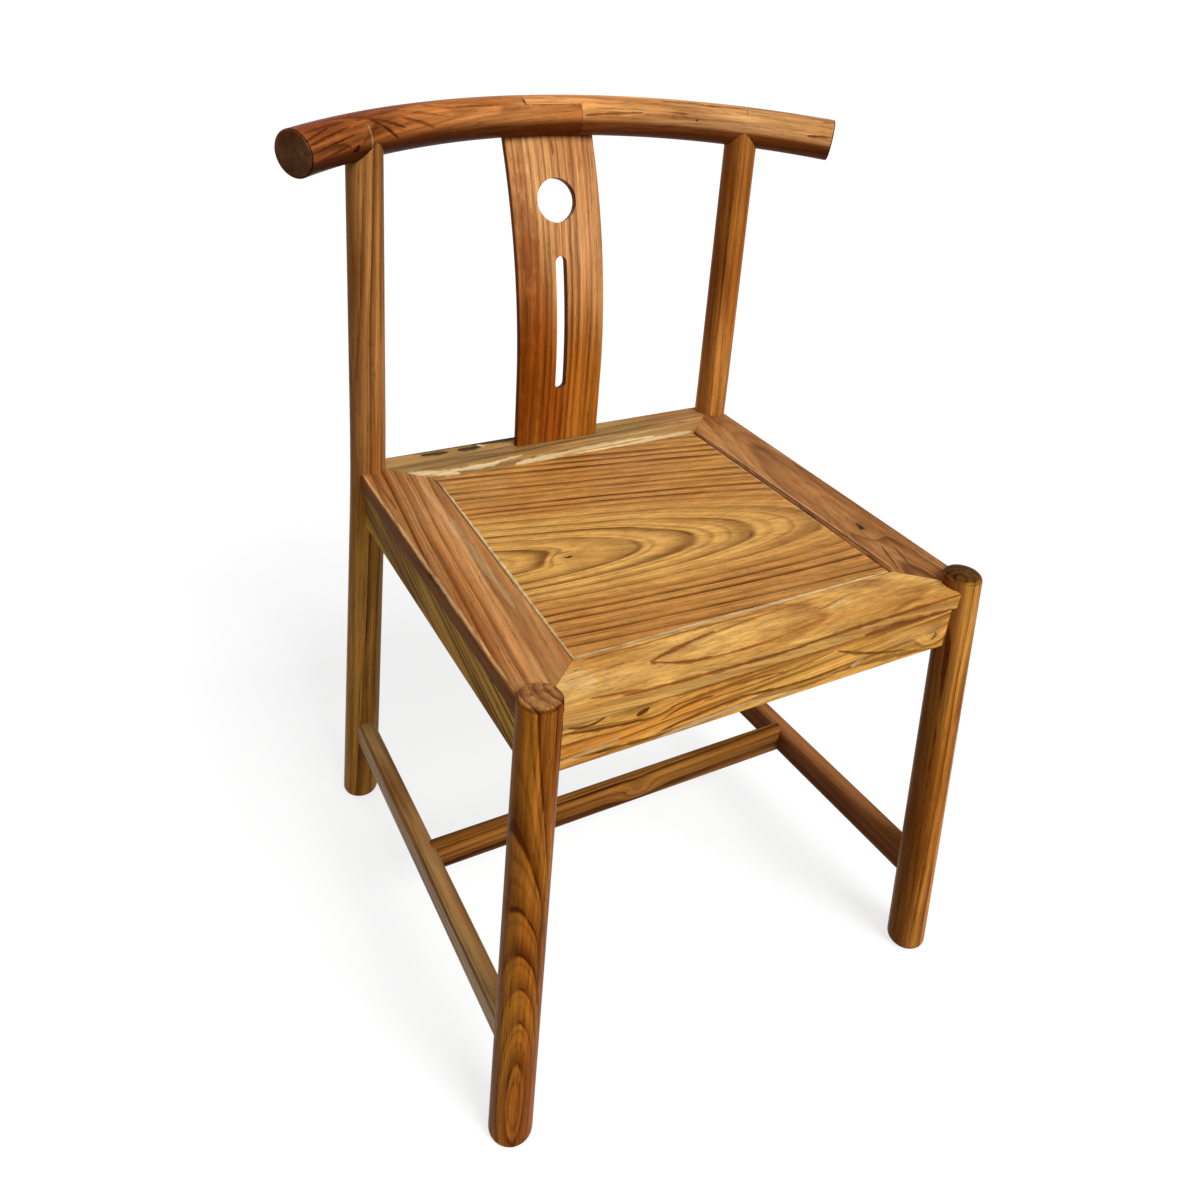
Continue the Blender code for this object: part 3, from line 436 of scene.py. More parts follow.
def wood_material(name, palette, pith, along, knots=(), dark_marks_and_shade=(), pale_marks_and_highlights=(),
                  dark_sides=(), later=None, gloss=0.34, shine=0.02, unbend=None, **grain):
    """Wood cut with its pith on a line through one point. Its palette of light, warm and dark may
    turn into a later one between two places. A mark has a start, an end, a width, a strength and
    maybe a bow; some dark marks are painted shade and some pale ones painted highlights. A painted
    shade side has a direction, the two turns between which it sets in, and a strength."""
    material = bpy.data.materials.new(name)
    material.use_nodes = True
    tree = material.node_tree
    shader = tree.nodes["Principled BSDF"]
    turn = Vector(along).to_track_quat("Z", "Y").to_euler()
    coordinates = add(tree, "ShaderNodeTexCoord")
    source, run = coordinates.outputs["Object"], Vector(along).normalized()
    if unbend:
        source, run = (add(tree, "ShaderNodeAttribute", attribute_name=held).outputs["Vector"]
                       for held in ("unbent_place", "grain_run"))
    unbend = unbend or Vector
    place = fed("Mapping", {0: source, 1: pith, 2: turn}, vector_type="TEXTURE")
    wood = add(tree, "ShaderNodeGroup", {"Place": place}, node_tree=sawn_wood)
    for label, colour in zip(("Light", "Warm", "Dark", "Pale"), (*palette, pale_wood_and_highlight)):
        wood.inputs[label].default_value = (*colour, 1.0)
    if later:
        second_palette, start, end = later
        start, way = unbend(start), unbend(end) - unbend(start)
        along_way = vectors("DOT_PRODUCT", vectors("SUBTRACT", source, start),
                            way / way.length_squared, "Value")
        share = ramp(along_way, 0.0, 1.0)
        for label, first, second in zip(("Light", "Warm", "Dark"), palette, second_palette):
            feed(tree, wood.inputs[label], mix_colour(share, (*first, 1.0), (*second, 1.0)))
    for label, value in grain.items():
        wood.inputs[label.replace("_", " ").title()].default_value = value
    wood.inputs["Gloss Roughness"].default_value = gloss
    into_wood = turn.to_matrix().inverted()
    shift = heart = 0.0
    for centre, *shape in knots:
        spot = add(tree, "ShaderNodeGroup", {"Place": place}, node_tree=knot)
        spot.inputs["Centre"].default_value = into_wood @ (unbend(centre) - Vector(pith))
        for label, value in zip(("Reach", "Stretch", "Pull", "Heart Reach"), shape):
            spot.inputs[label].default_value = value
        shift = plus(shift, spot.outputs["Shift"])
        heart = maths("MAXIMUM", heart, spot.outputs["Heart"])
    if knots:
        feed(tree, wood.inputs["Shift"], shift)
        feed(tree, wood.inputs["Heart"], heart)
    masks = {"Dark Mark": 0.0, "Pale Mark": 0.0}
    for label, marks in (("Dark Mark", dark_marks_and_shade), ("Pale Mark", pale_marks_and_highlights)):
        for start, end, width, strength, *bow in marks:
            start, end, bow = unbend(start), unbend(end), Vector(*bow)
            mask = fed("Group", {"Place": source, "From": start, "To": end,
                                 "Bow": bow - bow.project(end - start), "Width": width,
                                 "Strength": strength}, "Mask", node_tree=stroke)
            masks[label] = maths("MAXIMUM", masks[label], mask)
    # Painted shade: faces whose normal turns towards a direction are darkened
    for direction, low, high, strength in dark_sides:
        turned = vectors("DOT_PRODUCT", coordinates.outputs["Normal"],
                         Vector(direction).normalized(), "Value")
        masks["Dark Mark"] = maths("MAXIMUM", masks["Dark Mark"],
                                   ramp(turned, low, high, 0.0, strength))
    for label, mask in masks.items():
        feed(tree, wood.inputs[label], mask)
    facing = vectors("DOT_PRODUCT", coordinates.outputs["Normal"], run, "Value")
    feed(tree, wood.inputs["End Grain"], maths("ABSOLUTE", facing))
    bump = fed("Bump", {"Strength": bump_strength, "Distance": bump_depth,
                        "Height": wood.outputs["Height"]})
    for label, value in (("Base Color", wood.outputs["Colour"]),
                         ("Roughness", wood.outputs["Roughness"]), ("Normal", bump)):
        feed(tree, shader.inputs[label], value)
    shader.inputs["Specular IOR Level"].default_value = shine
    shader.inputs["Specular Tint"].default_value = gloss_tint
    return material


bar_tree = round_bar_tree()
sawn_wood = sawn_wood_group()
knot = knot_group()
stroke = stroke_group()


def front_leg_stations(side):
    """The leg's axis and thickness from the floor to its button."""
    stations = []
    for step in range(front_leg_steps + 1):
        height = front_leg_top * step / front_leg_steps
        share = height / seat_height
        place = front_leg_seat_place + front_leg_splay * (1 - share)
        thickness = front_leg_foot_thickness + share * (front_leg_seat_thickness
                                                        - front_leg_foot_thickness)
        stations.append(((0, 0, height), thickness, (side * place.x, place.y, 0)))
    return stations


front_leg_woods = {
    left: wood_material(
        "front_leg_left_wood",
        ((0.480, 0.185, 0.021), (0.330, 0.092, 0.009), (0.075, 0.012, 0.001)),
        (-0.1990, -0.2100, 0.300), (0.0615, 0.092, 1),
        knots=(((-0.2375, -0.2550, 0.060), 0.033, 6.0, 6.5, 0.0),
               ((-0.2290, -0.2440, 0.318), 0.008, 2.0, 1.2, 0.0)),
        dark_marks_and_shade=[
            ((-0.202, -0.219, 0.44), (-0.212, -0.233, 0.29), 0.006, 0.85, (0.003, 0, 0)),
            ((-0.209, -0.229, 0.33), (-0.22, -0.242, 0.17), 0.005, 0.75, (-0.002, 0, 0)),
            ((-0.215, -0.22, 0.42), (-0.216, -0.226, 0.3), 0.0022, 0.5)],
        pale_marks_and_highlights=[
            # Painted highlight: a glint on the foot
            ((-0.242, -0.254, 0.012), (-0.2425, -0.256, 0.024), 0.0024, 0.6),
            ((-0.211, -0.223, 0.35), (-0.2112, -0.2225, 0.34), 0.002, 0.5)],
        # Painted shade down two sides of the leg
        dark_sides=(((-1, 0.2, 0), 0.72, 1.0, 0.45), ((0.95, -0.3, 0), 0.80, 1.0, 0.5)),
        end_tint=(1.05, 1.55, 4.8), rim=0.55, seed=3.1, ring_width=0.0085, wander=0.008,
        lines=0.85, edges=0.5, bands=0.35, fibre=0.9,
        sapwood_start=0.030, sapwood_spread=0.012, zone=0.5),
    right: wood_material(
        "front_leg_right_wood",
        ((0.800, 0.345, 0.062), (0.465, 0.156, 0.016), (0.090, 0.014, 0.001)),
        (0.2020, -0.2060, 0.420), (-0.0615, 0.092, 1),
        # Painted shade down two sides of the leg
        dark_sides=(((-1.0, -0.20, 0), 0.50, 0.90, 0.70), ((0.8, -0.6, 0), 0.95, 1.0, 0.3)),
        end_tint=(0.18, 0.16, 0.14), rim=0.5, seed=8.4, ring_width=0.0070, wander=0.012, lines=0.95,
        bands=0.55, fibre=0.7)}
for side, word in both_sides:
    leg = round_bar("turned_front_leg_" + word, front_leg_stations(side), sides=bar_sides,
                    rings=bar_rings, first_rounding=foot_rounding, last_rounding=button_rounding,
                    last_crown=button_crown, material=front_leg_woods[side])
    shape_with(leg, [solid_copy(node, "socket_" + node)
                     for node in ("apron_front", "apron_" + word, "side_stretcher_" + word)])
    finish_piece(leg, "leg_wood", "front_leg_" + word)

# Crest rail
# A round bar bent back in its middle and tilted, sawn as two lengths that lap in a long scarf
# over the splat. Two blind pins square to the lap hold it, and the sawn ends show their grain.
crest_axis_height = 0.7660
crest_apex_place = 0.24375
crest_bend_radius = 0.465
crest_tilt = math.radians(7.4)
crest_middle_thickness = 0.0364
crest_end_thickness = 0.0390
crest_left_reach = 0.2668
crest_right_reach = 0.2767
crest_end_rounding = 0.0016
crest_steps = 96
crest_rings = 230
scarf_length = 0.058
scarf_place = -0.0015
scarf_lean = math.radians(41.5)
scarf_gap = 0.0003
overrun = 0.004
post_tenon_foot = 0.1966, 0.1975, 0.7420
post_tenon_thickness = 0.018
post_tenon_depth = 0.014
post_tenon_sides = 32
post_tenon_rings = 4
bend_nudge = 0.0001
crest_apex = Vector((0, crest_apex_place, crest_axis_height))
crest_back = Vector((0, math.cos(crest_tilt), math.sin(crest_tilt)))
crest_up = Vector((0, -math.sin(crest_tilt), math.cos(crest_tilt)))


def crest_point(across):
    """The crest rail's axis at a distance from the chair's middle."""
    angle = math.asin(across / crest_bend_radius)
    outward = Vector((math.sin(angle), 0, 0)) + crest_back * math.cos(angle)
    return crest_apex + (outward - crest_back) * crest_bend_radius


def crest_bar(name, start, end, grow=0.0, **sizes):
    """The bent bar, which swells from its middle to its ends."""
    stations = []
    for step in range(crest_steps + 1):
        across = start + (end - start) * step / crest_steps
        swell = (across / crest_right_reach) ** 2
        thickness = crest_middle_thickness + (crest_end_thickness - crest_middle_thickness) * swell
        stations.append((crest_point(across), thickness + grow * 2, (0, 0, 0)))
    return round_bar(name, stations, sides=bar_sides, rings=crest_rings, **sizes)


def scarf_box(side, low, high, whole):
    """What a length loses at the scarf: all of it, or the half that its partner fills."""
    reach = crest_end_thickness
    bm = bmesh.new()
    bmesh.ops.create_cube(bm, size=1.0)
    floor = -reach if whole else -scarf_gap / 2
    size = Vector((high - low, reach * 2, reach - floor))
    middle = Vector(((high + low) / 2, 0, (reach + floor) / 2))
    centre = crest_point(scarf_place)
    turn = Matrix.Rotation(-scarf_lean if side == left else math.pi - scarf_lean, 4, "X")
    bmesh.ops.transform(bm, verts=bm.verts,
                        matrix=Matrix.Translation((0, centre.y, centre.z)) @ turn
                        @ Matrix.Translation(middle) @ Matrix.Diagonal((*size, 1)))
    return place_solid("scarf_box", bm)


def post_tenon(side):
    """The round tenon that stands on a rear post and enters the crest rail."""
    across, place, height = post_tenon_foot
    foot = Vector((side * across, place, height - post_tenon_depth))
    top = foot + Vector((0, 0, post_tenon_depth * 2))
    return round_bar("post_tenon", [(point, post_tenon_thickness, (0, 0, 0))
                                    for point in (foot, top)],
                     sides=post_tenon_sides, rings=post_tenon_rings)


def unbend_crest(point):
    """Where a point of the crest rail lies before it is bent: along, behind and above its axis."""
    arm = Vector(point) - (crest_apex - crest_back * crest_bend_radius)
    angle = math.atan2(arm.x, arm.dot(crest_back))
    reach = math.hypot(arm.x, arm.dot(crest_back)) - crest_bend_radius
    return Vector((crest_bend_radius * angle, reach, arm.dot(crest_up)))


def keep_unbent(piece, unbend, run):
    """Keeps where each point was before the bend, and where its grain then runs."""
    nudges = [axis * bend_nudge for axis in Matrix.Identity(3)]
    places, grain = [], []
    for vertex in piece.data.vertices:
        places.extend(unbend(vertex.co))
        slope = Vector([(unbend(vertex.co + nudge) - unbend(vertex.co - nudge)).dot(run)
                        for nudge in nudges])
        grain.extend(slope.normalized())
    for name, numbers in (("unbent_place", places), ("grain_run", grain)):
        piece.data.attributes.new(name, "FLOAT_VECTOR", "POINT").data.foreach_set("vector", numbers)


def on_crest(start, end, width, strength):
    """A mark that follows the round of the crest rail from one point to another."""
    ends = [unbend_crest(start), unbend_crest(end)]
    middle = (ends[0] + ends[1]) / 2
    out = Vector((0, middle.y, middle.z))
    reach = sum(math.hypot(point.y, point.z) for point in ends) / 2
    return start, end, width, strength, out.normalized() * (reach - out.length)


crest_woods = {
    left: wood_material(
        "crest_left_wood", ((0.400, 0.122, 0.028), (0.265, 0.058, 0.010), (0.060, 0.010, 0.001)),
        (-0.150, 0.028, -0.030), (1, 0.02, 0.06), unbend=unbend_crest,
        later=(((0.630, 0.262, 0.076), (0.430, 0.136, 0.032), (0.090, 0.016, 0.001)),
               crest_point(-0.210), crest_point(0.000)),
        knots=(((-0.2090, 0.1780, 0.7440), 0.024, 1.3, 0.9, 0.0),
               ((-0.2110, 0.1735, 0.7552), 0.006, 1.2, 0.6, 0.0036)),
        dark_marks_and_shade=[on_crest(*mark) for mark in (
            ((-0.26, 0.147, 0.767), (-0.2357, 0.1671, 0.7728), 0.0026, 0.85),
            ((-0.257, 0.146, 0.764), (-0.215, 0.176, 0.772), 0.0026, 0.85),
            ((-0.251, 0.148, 0.758), (-0.212, 0.1732, 0.7662), 0.0026, 0.85),
            ((-0.25, 0.1494, 0.7505), (-0.217, 0.1688, 0.7588), 0.0026, 0.85),
            ((-0.26, 0.1532, 0.772), (-0.2184, 0.1792, 0.7753), 0.003, 0.7),
            ((-0.2075, 0.1835, 0.7751), (-0.16, 0.208, 0.78), 0.0034, 0.7),
            ((-0.1947, 0.1894, 0.7755), (-0.167, 0.1934, 0.7577), 0.0032, 0.9),
            ((-0.1886, 0.1911, 0.7751), (-0.16, 0.1961, 0.7665), 0.003, 0.85),
            ((-0.189, 0.19, 0.778), (-0.1534, 0.1975, 0.758), 0.003, 0.8),
            ((-0.18, 0.196, 0.779), (-0.125, 0.209, 0.762), 0.0028, 0.7),
            ((-0.17, 0.201, 0.78), (-0.1, 0.217, 0.768), 0.0024, 0.55),
            ((-0.142, 0.2177, 0.782), (-0.115, 0.215, 0.7785), 0.0028, 0.85),
            ((-0.12, 0.215, 0.7785), (-0.038, 0.229, 0.7792), 0.0026, 0.75),
            ((-0.0327, 0.2344, 0.7832), (-0.0304, 0.2285, 0.7778), 0.0026, 0.9))],
        pale_marks_and_highlights=[on_crest(*mark) for mark in (
            ((-0.1975, 0.184, 0.772), (-0.1949, 0.182, 0.7517), 0.0018, 0.35),
            ((-0.0252, 0.2362, 0.7835), (-0.0261, 0.228, 0.777), 0.002, 0.55))],
        # Painted shade on the underside
        dark_sides=(((-0.15, 0, -1), -0.25, 0.33, 0.90),),
        end_tint=(0.92, 1.55, 3.40), rim=0.95, seed=1.7, ring_width=0.0080, wander=0.012,
        lines=0.8, bands=0.45, fibre=0.8),
    right: wood_material(
        "crest_right_wood", ((0.860, 0.465, 0.192), (0.670, 0.295, 0.090), (0.150, 0.032, 0.004)),
        (0.150, 0.034, -0.026), (1, -0.02, 0.03), unbend=unbend_crest,
        later=(((0.690, 0.375, 0.160), (0.560, 0.260, 0.084), (0.150, 0.034, 0.005)),
               crest_point(0.060), crest_point(0.200)),
        dark_marks_and_shade=[on_crest(*mark) for mark in (
            ((0.03, 0.2247, 0.769), (0.09, 0.2177, 0.7715), 0.0026, 0.8),
            ((0.08, 0.218, 0.77), (0.1607, 0.1965, 0.7694), 0.0022, 0.75),
            ((0.114, 0.212, 0.7735), (0.1377, 0.2052, 0.7715), 0.0026, 0.9),
            ((0.113, 0.222, 0.7812), (0.156, 0.21, 0.78), 0.0024, 0.75),
            ((0.15, 0.21, 0.7795), (0.197, 0.193, 0.7785), 0.0026, 0.75),
            ((0.1967, 0.1936, 0.7788), (0.1925, 0.1858, 0.7721), 0.0018, 0.75),
            ((0.1432, 0.203, 0.7676), (0.1445, 0.202, 0.7655), 0.003, 0.9),
            ((0.2446, 0.1525, 0.7594), (0.269, 0.1368, 0.76), 0.0024, 0.9),
            ((0.256, 0.154, 0.773), (0.275, 0.145, 0.7715), 0.0018, 0.7),
            ((0.21, 0.178, 0.756), (0.272, 0.138, 0.754), 0.0028, 0.6),
            # Painted shade along the lower front
            ((-0.03, 0.224, 0.756), (0.15, 0.201, 0.756), 0.006, 0.6))],
        # Painted shade on the underside
        dark_sides=(((0.15, 0, -1), -0.15, 0.21, 0.92),),
        end_tint=(0.24, 0.24, 0.32), rim=0.95, seed=6.2, ring_width=0.0080, wander=0.008,
        lines=0.55, bands=0.2, fibre=0.9)}
scarf_low, scarf_high = scarf_place - scarf_length / 2, scarf_place + scarf_length / 2
beyond = crest_end_thickness * 3
for side, word in both_sides:
    if side == left:
        length = crest_bar("crest_length_left", -crest_left_reach, scarf_high + overrun,
                           first_rounding=crest_end_rounding, material=crest_woods[left])
        boxes = [scarf_box(side, place - scarf_gap / 2, beyond, whole)
                 for place, whole in ((scarf_high, True), (scarf_low, False))]
    else:
        length = crest_bar("crest_length_right", scarf_low - overrun, crest_right_reach,
                           last_rounding=crest_end_rounding, material=crest_woods[right])
        boxes = [scarf_box(side, -beyond, place + scarf_gap / 2, whole)
                 for place, whole in ((scarf_low, True), (scarf_high, False))]
    shape_with(length, boxes + [post_tenon(side), solid_copy("back_splat", "splat_socket"),
                                solid_copy("crest_scarf_pin_left", "pin_hole_left"),
                                solid_copy("crest_scarf_pin_right", "pin_hole_right")])
    keep_unbent(length, unbend_crest, Vector((1, 0, 0)))
    finish_piece(length, "crest_wood", "crest_rail_" + word)

pin_wood = wood_material("pin_wood", ((0.42, 0.24, 0.10), (0.33, 0.17, 0.07), (0.16, 0.07, 0.02)),
                         (0.0, 0.24, 0.76), (0, 0.66, 0.75), gloss=0.55, seed=5.5,
                         ring_width=0.003, wander=0.002, lines=0.5, bands=0.2)
for word in ("left", "right"):
    pin_materials = cad["crest_scarf_pin_" + word].data.materials
    pin_materials.clear()
    pin_materials.append(pin_wood)

# Rear legs
# Each rear leg is one long turned post: it splays below the seat, bends there and leans in above.
# Its top is scribed to the round of the crest rail and enters it with a tenon.
rear_leg_seat_place = Vector((0.2052, 0.1975))
rear_leg_splay = Vector((0.0194, 0.0251))
rear_post_lean_in = 0.0086
rear_post_top = 0.7604
rear_leg_bend_reach = 0.060
rear_leg_foot_thickness = 0.0394
rear_leg_seat_thickness = 0.0344
rear_post_top_thickness = 0.0324
rear_leg_rings = 200
rear_leg_straight_steps = 5
rear_leg_bend_steps = 24


def rear_leg_axis(height):
    """The leg's axis bends evenly at the seat, between two straight runs."""
    lower = -rear_leg_splay / seat_height
    upper = Vector((-rear_post_lean_in, 0)) / (rear_post_top - seat_height)
    above = height - seat_height
    if above >= rear_leg_bend_reach:
        return rear_leg_seat_place + upper * above
    into = max(0, above + rear_leg_bend_reach)
    return (rear_leg_seat_place + lower * above
            + (upper - lower) * into ** 2 / (4 * rear_leg_bend_reach))


def unbend_rear_leg(point):
    """Where a point of a rear leg lies before it is bent: beside, behind and along its axis."""
    point = Vector(point)
    place = rear_leg_axis(point.z)
    return Vector((point.x - math.copysign(place.x, point.x), point.y - place.y, point.z))


def rear_leg_stations(side):
    """The leg's axis and thickness from the floor to its scribed top."""
    heights = [step / rear_leg_straight_steps * (seat_height - rear_leg_bend_reach)
               for step in range(rear_leg_straight_steps)]
    heights += [seat_height + rear_leg_bend_reach * (step / (rear_leg_bend_steps / 2) - 1)
                for step in range(rear_leg_bend_steps + 1)]
    heights.append(rear_post_top)
    stations = []
    for height in heights:
        place = rear_leg_axis(height)
        above = height - seat_height
        if above < 0:
            share, ends = height / seat_height, (rear_leg_foot_thickness, rear_leg_seat_thickness)
        else:
            share = above / (rear_post_top - seat_height)
            ends = rear_leg_seat_thickness, rear_post_top_thickness
        thickness = ends[0] + (ends[1] - ends[0]) * share
        stations.append(((0, 0, height), thickness, (side * place.x, place.y, 0)))
    return stations


rear_leg_woods = {
    left: wood_material(
        "rear_leg_left_wood", ((0.720, 0.360, 0.074), (0.520, 0.215, 0.037), (0.090, 0.026, 0.003)),
        (0.030, 0.012, 0.5), (0.01, 0.01, 1), unbend=unbend_rear_leg,
        # Paler below the seat: painted light that makes up for the seat's shadow on the lower leg
        later=(((0.490, 0.216, 0.058), (0.360, 0.132, 0.029), (0.080, 0.020, 0.003)),
               (-0.2052, 0.1975, 0.380), (-0.2052, 0.1975, 0.480)),
        # Painted shade down two sides of the leg
        dark_sides=(((-0.95, -0.3, 0), 0.80, 1.0, 0.4), ((0.9, -0.3, 0), 0.85, 1.0, 0.35)),
        seed=2.3, ring_width=0.0070, wander=0.010, lines=0.7, bands=0.35, fibre=0.8),
    right: wood_material(
        "rear_leg_right_wood",
        ((0.640, 0.265, 0.054), (0.430, 0.135, 0.020), (0.100, 0.022, 0.002)),
        (-0.026, 0.016, 0.5), (-0.01, 0.01, 1), unbend=unbend_rear_leg,
        # Painted shade down two sides of the leg
        dark_sides=(((-0.95, -0.3, 0), 0.80, 1.0, 0.5), ((0.9, -0.3, 0), 0.88, 1.0, 0.35)),
        seed=9.6, ring_width=0.0070, wander=0.010, lines=0.65, bands=0.35, fibre=0.8)}
for side, word in both_sides:
    leg = round_bar("turned_rear_leg_" + word, rear_leg_stations(side), sides=bar_sides,
                    rings=rear_leg_rings, first_rounding=foot_rounding,
                    material=rear_leg_woods[side])
    scribe = crest_bar("scribe", -crest_left_reach, crest_right_reach, scarf_gap)
    shape_with(leg, [scribe] + [solid_copy(node, "socket_" + node) for node in
                                ("apron_rear", "apron_" + word, "side_stretcher_" + word)])
    shape_with(leg, [post_tenon(side)], "UNION")
    keep_unbent(leg, unbend_rear_leg, Vector((0, 0, 1)))
    finish_piece(leg, "leg_wood", "rear_leg_" + word)

# Splat
# One board sawn and bent back to meet the crest rail, its faces slightly softened at the arrises.
# A round hole over a long slot pierces it, and a tenon at each end holds it.
splat_width = 0.0958
splat_thickness = 0.008
splat_rounding = 0.0020
splat_foot_place = 0.1910
splat_bend_height = 0.5175
splat_head_height = 0.7478
splat_free_height = splat_head_height - seat_height
splat_rise = splat_head_height - splat_bend_height
splat_sweep = crest_apex_place - splat_foot_place
splat_bend_radius = (splat_rise ** 2 + splat_sweep ** 2) / (2 * splat_sweep)
splat_hole_thickness = 0.042
splat_hole_share = 0.8125
splat_slot_width = 0.0122
splat_slot_shares = 0.1965, 0.6495
splat_steps = 48
splat_corner_steps = 5
piercing_steps = 24
splat_tenon = Vector((0.070, 0.005, 0.0105))
splat_head_overrun = 0.008


def splat_frame(height):
    """Place of the board's middle at a height, and its angle from upright."""
    angle = math.asin(max(0, height - splat_bend_height) / splat_bend_radius)
    return splat_foot_place + splat_bend_radius * (1 - math.cos(angle)), angle


def splat_section(place, height, angle):
    """The board's section with its rounded arrises, square to the curve."""
    out = Vector((0, math.cos(angle), -math.sin(angle)))
    points = []
    for quarter, (side, face) in enumerate(((1, 1), (-1, 1), (-1, -1), (1, -1))):
        corner = (Vector((side * (splat_width / 2 - splat_rounding), place, height))
                  + out * face * (splat_thickness / 2 - splat_rounding))
        for step in range(splat_corner_steps + 1):
            turn = math.pi / 2 * (quarter + step / splat_corner_steps)
            points.append(corner + (Vector((math.cos(turn), 0, 0)) + out * math.sin(turn))
                          * splat_rounding)
    return points


def solid_from(name, rings):
    """Joins outlines of equally many points into one closed solid."""
    bm = bmesh.new()
    loops = [[bm.verts.new(point) for point in ring] for ring in rings]
    for lower, upper in zip(loops, loops[1:]):
        for index in range(len(lower)):
            after = (index + 1) % len(lower)
            bm.faces.new((lower[index], lower[after], upper[after], upper[index]))
    bm.faces.new(loops[0][::-1])
    bm.faces.new(loops[-1])
    bmesh.ops.recalc_face_normals(bm, faces=bm.faces)
    return place_solid(name, bm)


def piercing_tool(share, width, length):
    """A round-ended cutter that stands square to the board, part of the way up."""
    height = seat_height + splat_free_height * share
    place, angle = splat_frame(height)
    stand = Matrix.Translation((0, place, height)) @ Matrix.Rotation(math.pi / 2 - angle, 4, "X")
    outline = []
    for end, first in ((1, 0), (-1, math.pi)):
        for step in range(piercing_steps + 1):
            turn = first + math.pi * step / piercing_steps
            outline.append(Vector((width / 2 * math.cos(turn),
                                   end * (length - width) / 2 + width / 2 * math.sin(turn), 0)))
    if length == width:
        outline = outline[:piercing_steps] + outline[piercing_steps + 1:-1]
    reach = Vector((0, 0, splat_thickness * 2))
    return solid_from("piercing_tool", [[stand @ (p + reach * end) for p in outline]
                                        for end in (-1, 1)])


def tenon_box(entry, angle, low, high):
    """A rectangular tenon along the board's own slope."""
    half = splat_tenon / 2
    stand = Matrix.Translation(entry) @ Matrix.Rotation(-angle, 4, "X")
    corners = [(-half.x, -half.y), (half.x, -half.y), (half.x, half.y), (-half.x, half.y)]
    return solid_from("tenon_box", [[stand @ Vector((x, y, z)) for x, y in corners]
                                    for z in (low, high)])


def unbend_splat(point):
    """Where a point lies on the board before it is bent: across, through and along it."""
    across, place, height = point
    if height <= splat_bend_height:
        return Vector((across, place - splat_foot_place, height))
    arm_y = splat_foot_place + splat_bend_radius - place
    arm_z = height - splat_bend_height
    return Vector((across, splat_bend_radius - math.hypot(arm_y, arm_z),
                   splat_bend_height + splat_bend_radius * math.atan2(arm_z, arm_y)))


splat_wood = wood_material(
    "splat_wood", ((0.455, 0.155, 0.018), (0.345, 0.088, 0.008), (0.100, 0.018, 0.001)),
    (-0.075, 0.020, 0.6), (0.02, 0.01, 1), unbend=unbend_splat,
    knots=(((0.0, 0.2167, 0.654), 0.012, 2.5, 0.8, 0.0),),
    dark_marks_and_shade=[
        ((-0.036, 0.187, 0.43), (-0.036, 0.19, 0.655), 0.026, 0.55),
        ((0, 0.226, 0.706), (0, 0.242, 0.76), 0.0022, 0.85, (0.001, 0, 0)),
        ((-0.036, 0.2, 0.6), (-0.036, 0.242, 0.79), 0.018, 0.65),
        ((0.0345, 0.209, 0.634), (0.0395, 0.209, 0.633), 0.0022, 0.85),
        ((0.026, 0.223, 0.7), (0.034, 0.24, 0.765), 0.004, 0.5)],
    later=(((0.840, 0.450, 0.180), (0.590, 0.252, 0.086), (0.210, 0.044, 0.005)),
           (-0.040, 0.1920, 0.550), (0.020, 0.2200, 0.690)),
    # Painted shade on the side faces, the walls of the hole and the slot, and faces turned down
    dark_sides=(((-1, 0, 0), 0.6, 0.95, 0.95), ((1, 0, 0), 0.6, 0.95, 0.85),
                ((0, 0, -1), 0.7, 0.95, 0.85)),
    seed=4.4, ring_width=0.0070, wander=0.008, lines=0.70, bands=0.32, fibre=0.8)
rings = [splat_section(splat_foot_place, seat_height + scarf_gap, 0)]
for step in range(splat_steps + 1):
    height = splat_bend_height + splat_rise * step / splat_steps
    place, angle = splat_frame(height)
    rings.append(splat_section(place, height, angle))
head_angle = math.asin(splat_rise / splat_bend_radius)
rings.append(splat_section(crest_apex_place, crest_axis_height, head_angle))
splat = solid_from("splat_board", rings)
splat.data.materials.append(splat_wood)
slot_middle = sum(splat_slot_shares) / 2
slot_length = splat_free_height * (splat_slot_shares[1] - splat_slot_shares[0])
shape_with(splat, [piercing_tool(splat_hole_share, splat_hole_thickness, splat_hole_thickness),
                   piercing_tool(slot_middle, splat_slot_width, slot_length),
                   crest_bar("scribe", -crest_left_reach, crest_right_reach, scarf_gap)])
shape_with(splat, [tenon_box((0, splat_foot_place, seat_height), 0, -splat_tenon.z, overrun),
                   tenon_box((0, crest_apex_place, splat_head_height), head_angle,
                             -splat_tenon.z, splat_head_overrun)], "UNION")
keep_unbent(splat, unbend_splat, Vector((0, 0, 1)))
finish_piece(splat, "splat_wood", "back_splat")

# Seat frame
# Four flat rails mitred at the corners round the legs, with rounded outer arrises.
# Each is sawn from a different board, so that the four differ in colour and figure.
front_rail_face_place = -0.2115
board_crisp_angle = math.radians(50)
flat_face_weight = 100


def finished_solid(node, name, slot, wood):
    """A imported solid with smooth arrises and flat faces, in its own wood."""
    piece = solid_copy(node, name)
    piece.data.materials.append(wood)
    change = piece.modifiers.new("flat faces", "WEIGHTED_NORMAL")
    change.keep_sharp = True
    change.weight = flat_face_weight
    for face in piece.data.polygons:
        face.use_smooth = True
    piece.data.set_sharp_from_angle(angle=board_crisp_angle)
    apply_changes(piece)
    return finish_piece(piece, slot, node)


def face_marks(axis, level, *rows):
    """Marks on a flat face square to an axis. Each row has a start and an end in the face's two
    other directions, a width, a strength and maybe a bow."""
    def place(first, second, across=level):
        """A point of the face, or a bow along it."""
        point = [first, second]
        point.insert("XYZ".index(axis), across)
        return point

    return [(place(*row[:2]), place(*row[2:4]), *row[4:6], *(place(*bow, 0) for bow in row[6:]))
            for row in rows]


